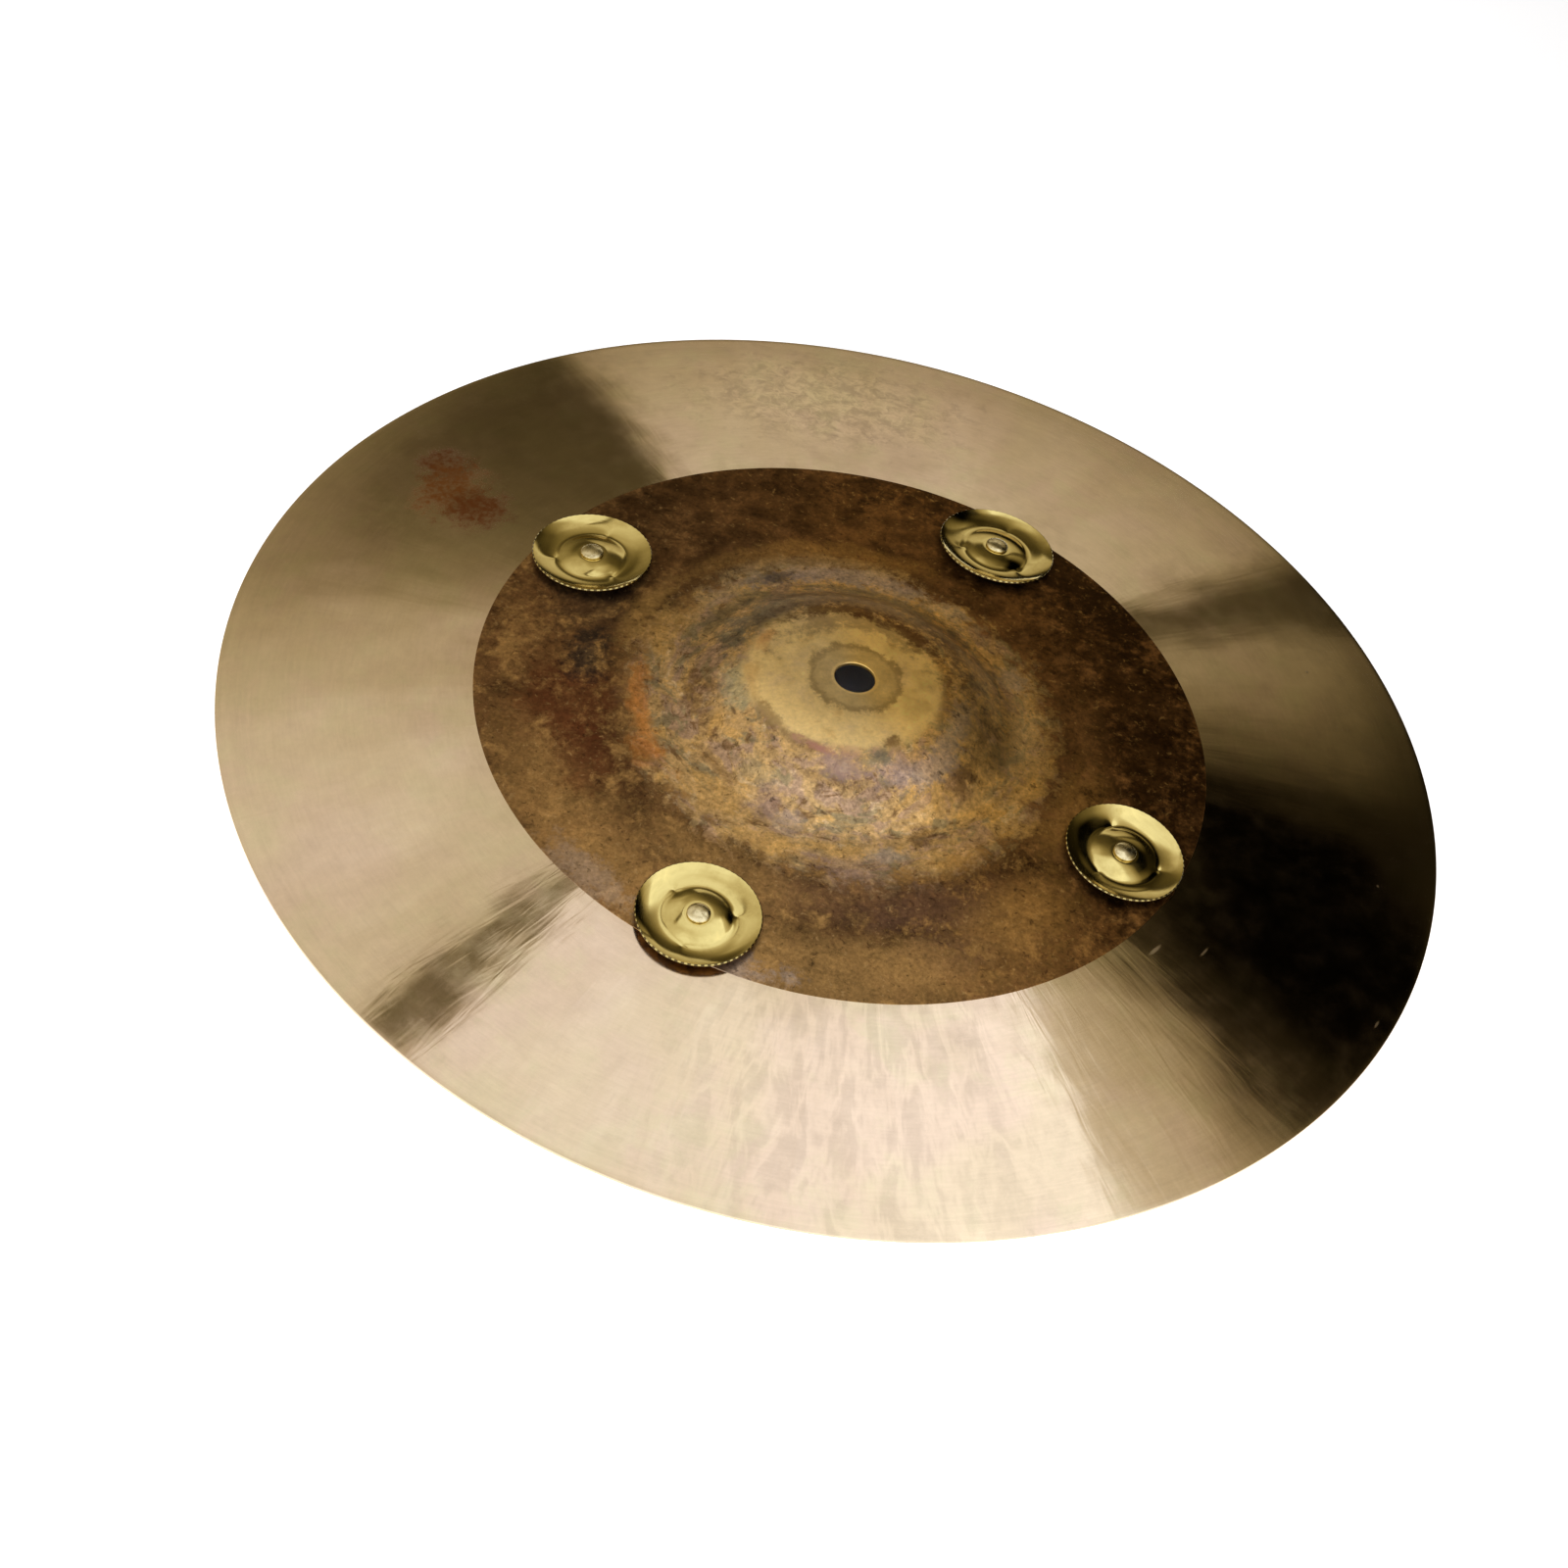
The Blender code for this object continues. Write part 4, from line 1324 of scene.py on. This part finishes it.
    def build(self, stations: Sequence[StationPlace]) -> bpy.types.Object:
        """Turn, hammer and drill the sheet, and dress it.

        Args:
            stations: places of the rivets.

        Returns:
            The finished piece.
        """
        drills = self.drills(stations)
        bpy.context.view_layer.update()
        mesh = HammeredShellTree("hammered_shell", closed=True).make(
            "cymbal_shell", self.outline(),
            Segments=self.segments,
            Hammer_Seed=4.0,
            Broad_Mark_Depth=0.36 * MM,
            Broad_Mark_Size=32.0 * MM,
            Fine_Mark_Depth=0.06 * MM,
            Fine_Mark_Size=12.0 * MM,
            Ripple_Depth=0.10 * MM,
            Ripple_Circle_Radius=160.0 * MM,
            Ripple_Width=12.0 * MM,
            Ripple_Length=50.0 * MM,
            Quiet_Bell_Radius=22.0 * MM,
            Hammered_Radius=45.0 * MM,
            Quiet_Rim_Radius=184.0 * MM,
            Rim_Radius=self.diameter / 2 - 2 * MM,
            Drills=drills,
            Raw_Radius=self.raw_disc_diameter / 2 + self.lathe_depth / 2,
            Raw_Finish=RawBronze().material(),
            Band_Finish=LathedBronze().material(),
            Under_Finish=UnderBronze().material(),
        )
        bpy.data.objects.remove(drills)
        mesh.set_sharp_from_angle(angle=self.sharp_angle)
        return add_piece("cymbal_shell", mesh, "cymbal", "cymbal")


@dataclass
class Jingles:
    """The four stamped brass jingles."""

    diameter: float = 40.0 * MM
    thickness: float = 0.5 * MM
    hub_diameter: float = 9.6 * MM
    crease_diameter: float = 23.0 * MM
    lip_width: float = 0.30 * MM
    cup_slope_at_hub: float = degrees(6.0)
    cup_slope_at_crease: float = degrees(20.0)
    brim_slope_at_crease: float = degrees(-6.0)
    brim_slope_at_lip: float = degrees(-26.0)
    lip_slope: float = degrees(0.0)
    notch_count: int = 60
    notch_depth: float = 0.16 * MM
    hole_diameter: float = 5.2 * MM
    rest_gap: float = 0.3 * MM
    dimple_count: int = 3
    dimple_circle_diameter: float = 24.6 * MM
    dimple_depth: float = 0.42 * MM
    dimple_stand: float = 0.18 * MM
    dimple_inner_reach: float = 1.7 * MM
    dimple_outer_reach: float = 2.4 * MM
    dimple_side_reach: float = 1.4 * MM
    crease_rounding: float = 1.3 * MM
    segments: int = 240
    ring_spacing: float = 0.4 * MM
    sharp_angle: float = degrees(50.0)

    def profile(self, rounding: float = 0.0) -> Profile:
        """Arcs of the lower face from the hole to the lip.

        Args:
            rounding: reach of the round bend at the crease on both sides of it.

        Returns:
            The profile, sharp at the crease where the rounding is nothing.
        """
        crease = self.crease_diameter / 2
        bend = Arc(crease + rounding, self.cup_slope_at_crease, self.brim_slope_at_crease)
        return Profile((
            Arc(self.hub_diameter / 2, 0.0, 0.0),
            Arc(crease - rounding, self.cup_slope_at_hub, self.cup_slope_at_crease),
            *((bend,) if rounding else ()),
            Arc(self.diameter / 2 - self.lip_width, self.brim_slope_at_crease, self.brim_slope_at_lip),
            Arc(self.diameter / 2, self.lip_slope, self.lip_slope),
        ))

    @property
    def seat_depth(self) -> float:
        """Depth of the crease below the hub."""
        return self.profile().fall(self.crease_diameter / 2)[0]

    def under(self, radius: float) -> float:
        """Height of the lower face above the shell."""
        fall = self.profile(self.crease_rounding).fall
        return self.rest_gap + self.dimple_stand + self.seat_depth - fall(radius)[0]

    def outline(self) -> list[tuple[float, float]]:
        """Closed outline of the sheet: over its upper face, round its lip and back below."""
        profile = self.profile(self.crease_rounding)
        radii = profile.rings(self.hole_diameter / 2, self.diameter / 2, self.ring_spacing)
        upper = []
        for radius in radii:
            depth_of_sheet = self.thickness / math.cos(profile.fall(radius)[1])
            upper.append((radius, self.under(radius) + depth_of_sheet))
        lower = [(radius, self.under(radius)) for radius in reversed(radii)]
        edge_break = self.thickness / 4
        rim, rim_top = upper[-1]
        upper[-1] = (rim - edge_break, rim_top)
        upper.append((rim, rim_top - edge_break))
        rim_low = lower[0][1]
        lower[0] = (rim - edge_break, rim_low)
        lower.insert(0, (rim, rim_low + edge_break))
        return upper + lower

    def build(self, stations: Sequence[StationPlace]) -> list[bpy.types.Object]:
        """Stamp a jingle for every station.

        Args:
            stations: places and turns of the jingles.

        Returns:
            The finished pieces.
        """
        coat = JingleBrass().material()
        under_coat = TarnishAndShadeBrass().material()
        tree = StampedJingleTree("stamped_jingle", closed=True)
        pieces = []
        for station in stations:
            name = f"jingle_plate_{station.number}"
            mesh = tree.make(
                name, self.outline(),
                Segments=self.segments,
                Dimple_Count=float(self.dimple_count),
                Dimple_Circle_Radius=self.dimple_circle_diameter / 2,
                Dimple_Depth=self.dimple_depth,
                Dimple_Inner_Reach=self.dimple_inner_reach,
                Dimple_Outer_Reach=self.dimple_outer_reach,
                Dimple_Side_Reach=self.dimple_side_reach,
                Notch_Count=float(self.notch_count),
                Notch_Depth=self.notch_depth,
                Lip_Radius=self.diameter / 2 - self.lip_width / 2,
                Finish=coat,
                Under_Finish=under_coat,
            )
            mesh.transform(station.matrix(station.turn))
            mesh.set_sharp_from_angle(angle=self.sharp_angle)
            body = f"jingle_{station.number}"
            pieces.append(add_piece(name, mesh, body, body))
        return pieces


@dataclass
class Rivets:
    """The four semi-tubular rivets that carry the jingles."""

    shank_diameter: float = 4.0 * MM
    head_diameter: float = 7.6 * MM
    head_height: float = 1.5 * MM
    head_edge: float = 0.4 * MM
    flare_diameter: float = 7.2 * MM
    flare_thickness: float = 0.8 * MM
    bore_diameter: float = 2.6 * MM
    bore_depth: float = 3.4 * MM
    lift: float = 3.0 * MM
    segments: int = 64
    dome_rings: int = 12
    roll_rings: int = 6
    sharp_angle: float = degrees(40.0)

    def outline(self, shell: Shell, jingles: Jingles, radius: float) -> list[tuple[float, float]]:
        """Open outline from the crown of the head to the bottom of the tail's bore.

        Args:
            shell: sheet that the rivet passes through.
            jingles: jingles that it carries.
            radius: radius of its station on the shell.

        Returns:
            Radii and heights above the shell.
        """
        gap = jingles.rest_gap
        base = gap + jingles.seat_depth + jingles.thickness + gap
        flare_top = -(shell.thickness(radius) + shell.lathe_depth + gap + self.lift)
        tail = flare_top - self.flare_thickness
        half_roll = self.flare_thickness / 2
        points = []
        for ring in range(self.dome_rings + 1):
            turn = math.pi / 2 * ring / self.dome_rings
            height = base + self.head_edge + (self.head_height - self.head_edge) * math.cos(turn)
            points.append((self.head_diameter / 2 * math.sin(turn), height))
        edge_break = self.head_edge / 4
        points += [
            (self.head_diameter / 2, base + edge_break),
            (self.head_diameter / 2 - edge_break, base),
            (self.shank_diameter / 2, base),
            (self.shank_diameter / 2, flare_top),
        ]
        for ring in range(self.roll_rings + 1):
            turn = math.pi / 2 - math.pi * ring / self.roll_rings
            reach = self.flare_diameter / 2 - half_roll + half_roll * math.cos(turn)
            points.append((reach, flare_top - half_roll + half_roll * math.sin(turn)))
        bore = self.bore_diameter / 2
        points += [
            (bore + half_roll / 2, tail),
            (bore, tail + half_roll / 2),
            (bore, tail + self.bore_depth),
            (0.0, tail + self.bore_depth + bore / 2),
        ]
        return points

    def build(
        self, stations: Sequence[StationPlace], shell: Shell, jingles: Jingles
    ) -> list[bpy.types.Object]:
        """Turn a rivet for every station.

        Args:
            stations: places of the rivets.
            shell: sheet that they pass through.
            jingles: jingles that they carry.

        Returns:
            The finished pieces.
        """
        coat = RivetNickel().material()
        tree = TurnedTree("turned_rivet", closed=False)
        pieces = []
        for station in stations:
            name = f"rivet_pin_{station.number}"
            outline = self.outline(shell, jingles, station.radius)
            mesh = tree.make(name, outline, Segments=self.segments, Finish=coat)
            mesh.transform(station.matrix())
            mesh.set_sharp_from_angle(angle=self.sharp_angle)
            body = f"rivet_{station.number}"
            pieces.append(add_piece(name, mesh, body, body))
        return pieces


def face_outwards(mesh: bpy.types.Mesh) -> None:
    """Turn a closed mesh's faces so that they all point out of it."""
    shape = bmesh.new()
    shape.from_mesh(mesh)
    if shape.calc_volume(signed=True) < 0.0:
        bmesh.ops.reverse_faces(shape, faces=shape.faces)
        shape.to_mesh(mesh)
    shape.free()


def add_piece(name: str, mesh: bpy.types.Mesh, body: str, node: str) -> bpy.types.Object:
    """Put a finished mesh in the scene in place of a node of the frame.

    Args:
        name: name of the piece.
        mesh: its mesh, already in place.
        body: body that it moves with.
        node: node that it stands for.

    Returns:
        The piece.
    """
    face_outwards(mesh)
    piece = bpy.data.objects.new(name, mesh)
    bpy.context.scene.collection.objects.link(piece)
    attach(piece, body)
    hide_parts(node)
    mesh.calc_loop_triangles()
    LOG.info("%s: %d triangles on body %s", name, len(mesh.loop_triangles), body)
    return piece


@dataclass(frozen=True)
class FanCard:
    """Edge of one card in the fan of studio cards: the direction it starts at and its light."""

    direction: float
    light: float


@dataclass
class Studio:
    """Pale floor, a soft room and the fan of cards that the cymbal's bow reflects."""

    floor_reach: float = 4.0
    floor_drop: float = 0.05 * MM
    floor_colour: Colour = (0.93, 0.93, 0.93)
    floor_lift: float = 0.68
    shade_radius: float = 170.0 * MM
    axis_elevation: float = 45.0
    tent_radius: float = 0.7
    heart_light: float = 0.10
    core_edge: tuple[float, float] = (3.0, 14.0)
    fan_edge: tuple[float, float] = (19.5, 25.0)
    room_edge: tuple[float, float] = (42.0, 50.0)
    lower_stretch: float = 1.31
    lower_end: float = 0.62
    behind_light: float = 1.2
    clutter: float = 0.10
    streak: float = 0.10
    streak_count: float = 30.0
    dim_tint: Colour = (1.0, 0.78, 0.34)
    middle_tint: Colour = (1.0, 0.875, 0.66)
    bright_tint: Colour = (1.0, 1.05, 1.24)
    middle_level: float = 0.45
    core: tuple[FanCard, ...] = (
        FanCard(-180.0, 0.3),
        FanCard(-155.0, 0.18),
        FanCard(-120.0, 0.05),
        FanCard(-60.0, 0.04),
        FanCard(0.0, 0.03),
        FanCard(30.0, 0.13),
        FanCard(45.0, 0.21),
        FanCard(60.0, 0.3),
        FanCard(80.0, 0.42),
        FanCard(105.0, 0.66),
        FanCard(125.0, 0.72),
        FanCard(140.0, 0.52),
        FanCard(160.0, 0.42),
        FanCard(180.0, 0.3),
    )
    room: tuple[FanCard, ...] = (
        FanCard(-180.0, 0.6),
        FanCard(-150.0, 0.42),
        FanCard(-120.0, 0.08),
        FanCard(-90.0, 0.01),
        FanCard(-30.0, 0.01),
        FanCard(0.0, 0.03),
        FanCard(26.0, 0.2),
        FanCard(38.0, 0.6),
        FanCard(55.0, 1.35),
        FanCard(75.0, 1.15),
        FanCard(95.0, 0.85),
        FanCard(115.0, 0.72),
        FanCard(150.0, 0.7),
        FanCard(180.0, 0.6),
    )
    fan: tuple[FanCard, ...] = (
        FanCard(-180.0, 0.53),
        FanCard(-176.0, 0.5),
        FanCard(-165.4, 0.32),
        FanCard(-159.2, 0.21),
        FanCard(-148.5, 0.125),
        FanCard(-137.1, 0.1),
        FanCard(-127.0, 0.08),
        FanCard(-124.8, 0.72),
        FanCard(-85.7, 0.72),
        FanCard(-49.3, 0.62),
        FanCard(-47.1, 0.1),
        FanCard(-39.1, 0.1),
        FanCard(-36.9, 0.42),
        FanCard(-24.7, 0.22),
        FanCard(-14.9, 0.04),
        FanCard(-8.6, 0.0),
        FanCard(15.9, 0.0),
        FanCard(26.9, 0.03),
        FanCard(28.8, 0.16),
        FanCard(39.1, 0.56),
        FanCard(48.0, 0.76),
        FanCard(49.4, 1.28),
        FanCard(60.5, 1.14),
        FanCard(88.8, 1.04),
        FanCard(123.8, 0.93),
        FanCard(125.8, 0.13),
        FanCard(129.6, 0.13),
        FanCard(131.2, 0.69),
        FanCard(154.9, 0.76),
        FanCard(169.4, 0.64),
        FanCard(175.1, 0.56),
        FanCard(180.0, 0.53),
    )

    def build_floor(self) -> bpy.types.Object:
        """Flat floor that the rim stands on.

        Returns:
            The floor.
        """
        reach = self.floor_reach
        corners = [(-reach, -reach), (reach, -reach), (reach, reach), (-reach, reach)]
        mesh = bpy.data.meshes.new("floor")
        mesh.from_pydata([(x, y, -self.floor_drop) for x, y in corners], [], [(0, 1, 2, 3)])
        mesh.materials.append(self.floor_material())
        floor = bpy.data.objects.new("floor", mesh)
        bpy.context.scene.collection.objects.link(floor)
        return floor

    def floor_material(self) -> bpy.types.Material:
        """Pale matt floor that looks white to the camera, except under the cymbal."""
        made = bpy.data.materials.new("pale_floor")
        made.use_nodes = True
        graph = Graph(made.node_tree)
        shader = made.node_tree.nodes["Principled BSDF"]
        shader.inputs["Base Color"].default_value = (*self.floor_colour, 1.0)
        shader.inputs["Roughness"].default_value = 1.0
        shader.inputs["Specular IOR Level"].default_value = 0.0
        place = graph.node("ShaderNodeTexCoord").outputs["Object"]
        clear = graph.ramp_between(
            graph.vector("LENGTH", place), self.shade_radius, self.shade_radius + 20 * MM
        )
        path = graph.node("ShaderNodeLightPath").outputs
        seen = graph.maths("MAXIMUM", path["Is Camera Ray"], path["Is Transmission Ray"])
        seen = graph.maths("MAXIMUM", seen, path["Is Glossy Ray"])
        lift = graph.maths("MULTIPLY", graph.maths("MULTIPLY", seen, clear), self.floor_lift)
        shader.inputs["Emission Color"].default_value = (1.0, 1.0, 1.0, 1.0)
        graph.feed(shader.inputs["Emission Strength"], lift)
        return made

    def build_tent(self) -> bpy.types.Object:
        """Round tent over the cymbal that carries the light; the camera looks through it.

        Returns:
            The tent.
        """
        mesh = bpy.data.meshes.new("light_tent")
        shape = bmesh.new()
        bmesh.ops.create_icosphere(shape, subdivisions=5, radius=self.tent_radius)
        shape.to_mesh(mesh)
        shape.free()
        made = bpy.data.materials.new("tent_light")
        made.use_nodes = True
        graph = Graph(made.node_tree)
        place = graph.node("ShaderNodeTexCoord").outputs["Object"]
        glow = graph.node(
            "ShaderNodeEmission", {"Color": self.cards_light(graph, graph.vector("NORMALIZE", place))}
        )
        seen = graph.node("ShaderNodeLightPath").outputs["Is Camera Ray"]
        clear = graph.node("ShaderNodeBsdfTransparent")
        mixed = graph.node(
            "ShaderNodeMixShader", {0: seen, 1: glow.outputs[0], 2: clear.outputs[0]}
        )
        graph.feed(made.node_tree.nodes["Material Output"].inputs["Surface"], mixed.outputs[0])
        mesh.materials.append(made)
        tent = bpy.data.objects.new("light_tent", mesh)
        bpy.context.scene.collection.objects.link(tent)
        return tent

    def build_world(self) -> None:
        """Plain white room outside the tent."""
        world = bpy.data.worlds.new("studio")
        world.use_nodes = True
        background = world.node_tree.nodes["Background"]
        background.inputs["Color"].default_value = (1.0, 1.0, 1.0, 1.0)
        bpy.context.scene.world = world

    def cards_light(self, graph: Graph, direction: Socket) -> Socket:
        """Soft light, brightest behind the camera, with the fan of cards ahead of it.

        Args:
            graph: tree that the nodes go into.
            direction: direction from the cymbal's centre.

        Returns:
            The colour of the light from there.
        """
        lean = degrees(self.axis_elevation)
        along = graph.vector("DOT_PRODUCT", direction, (0.0, math.cos(lean), math.sin(lean)))
        across = graph.vector("DOT_PRODUCT", direction, (1.0, 0.0, 0.0))
        above = graph.vector("DOT_PRODUCT", direction, (0.0, -math.sin(lean), math.cos(lean)))
        off_axis = graph.maths("ARCCOSINE", along)
        fan_angle = graph.maths("ARCTAN2", above, across)
        share = graph.ramp_between(fan_angle, -math.pi, math.pi, 0.0, 1.0, Wave.LINEAR)
        lower = graph.ramp_between(above, 0.06, -0.12)
        stretched = graph.maths(
            "MULTIPLY", off_axis, graph.blend_values(lower, 1.0, self.lower_stretch)
        )
        light: Any = self.heart_light
        rings = (
            (off_axis, self.core_edge, self.core),
            (stretched, self.fan_edge, self.fan),
            (stretched, self.room_edge, self.room),
        )
        for reach, edge, cards in rings:
            past = graph.ramp_between(reach, degrees(edge[0]), degrees(edge[1]), wave=Wave.LINEAR)
            light = graph.blend_values(past, light, self.laid_out(graph, share, cards))
        fallen = graph.ramp_between(
            stretched, degrees(self.fan_edge[1]), degrees(self.room_edge[0]),
            1.0, self.lower_end, Wave.LINEAR,
        )
        light = graph.maths("MULTIPLY", light, graph.blend_values(lower, 1.0, fallen))
        _, ahead, _ = graph.node("ShaderNodeSeparateXYZ", {0: direction}).outputs
        behind = graph.ramp_between(ahead, 0.05, -0.6)
        light = graph.blend_values(behind, light, self.behind_light)
        light = graph.maths("MULTIPLY", light, self.broken_up(graph, direction, fan_angle))
        tint = graph.blend(
            graph.ramp_between(light, 0.0, self.middle_level, wave=Wave.LINEAR),
            self.dim_tint, self.middle_tint,
        )
        tint = graph.blend(
            graph.ramp_between(light, self.middle_level, 1.1, wave=Wave.LINEAR), tint, self.bright_tint
        )
        return graph.vector("SCALE", tint, scale=light)

    @staticmethod
    def laid_out(graph: Graph, share: Socket, cards: Sequence[FanCard]) -> Socket:
        """Light of one ring of cards.

        Args:
            graph: tree that the nodes go into.
            share: direction about the fan's axis, as a share of a full turn.
            cards: edges of the ring's cards, from -180 to 180 degrees.

        Returns:
            The light in that direction.
        """
        node = graph.node("ShaderNodeValToRGB", {"Fac": share})
        ramp = node.color_ramp
        while len(ramp.elements) > 1:
            ramp.elements.remove(ramp.elements[-1])
        for number, card in enumerate(cards):
            place = (card.direction + 180.0) / 360.0
            stop = ramp.elements[0] if number == 0 else ramp.elements.new(place)
            stop.position = place
            stop.color = (card.light, card.light, card.light, 1.0)
        return node.outputs[0]

    def broken_up(self, graph: Graph, direction: Socket, fan_angle: Socket) -> Socket:
        """Uneven light that soft clouds and narrow streaks along the fan's rays give the cards."""
        cloud = graph.noise(direction, 0.10, 3.0, 0.6, 0.4, seed=6.0)
        clouds = graph.ramp_between(cloud, 0.3, 0.7, 1.0 - self.clutter, 1.0 + self.clutter, Wave.LINEAR)
        around = graph.node(
            "ShaderNodeCombineXYZ",
            {0: graph.maths("COSINE", fan_angle), 1: graph.maths("SINE", fan_angle)},
        ).outputs[0]
        streak = graph.noise(around, 1.0 / self.streak_count, 3.0, 0.6, seed=9.0)
        streaks = graph.ramp_between(streak, 0.3, 0.7, 1.0 - self.streak, 1.0 + self.streak, Wave.LINEAR)
        return graph.maths("MULTIPLY", clouds, streaks)


@dataclass
class CameraRig:
    """Camera at the photograph's angle."""

    position: tuple[float, float, float] = (-0.0136, -0.9916, 0.9676)
    right: tuple[float, float, float] = (0.9684, 0.1763, 0.1766)
    down: tuple[float, float, float] = (0.2495, -0.6841, -0.6854)
    lens: float = 96.75
    sensor: float = 36.0

    def build(self) -> bpy.types.Object:
        """Place the camera and make it the scene's own.

        Returns:
            The camera.
        """
        data = bpy.data.cameras.new("camera")
        data.lens = self.lens
        data.sensor_width = self.sensor
        camera = bpy.data.objects.new("camera", data)
        bpy.context.scene.collection.objects.link(camera)
        right = Vector(self.right).normalized()
        down = Vector(self.down)
        up = -(down - right * down.dot(right)).normalized()
        back = right.cross(up)
        rotation = Matrix((right, up, back)).transposed().to_4x4()
        camera.matrix_world = Matrix.Translation(self.position) @ rotation
        bpy.context.scene.camera = camera
        return camera


def main() -> None:
    """Build the studio, then the shell, the rivets and the jingles."""
    logging.basicConfig(level=logging.INFO, format="%(name)s: %(message)s")
    CameraRig().build()
    studio = Studio()
    studio.build_floor()
    studio.build_tent()
    studio.build_world()
    bpy.context.scene.view_settings.view_transform = "Standard"
    stations = [
        StationPlace(number, degrees(turn))
        for number, turn in enumerate((4.0, 13.0, 7.0, 42.0), start=1)
    ]
    shell = Shell()
    jingles = Jingles()
    rivets = Rivets()
    shell.build(stations)
    rivets.build(stations, shell, jingles)
    jingles.build(stations)


if __name__ == "__main__":
    main()
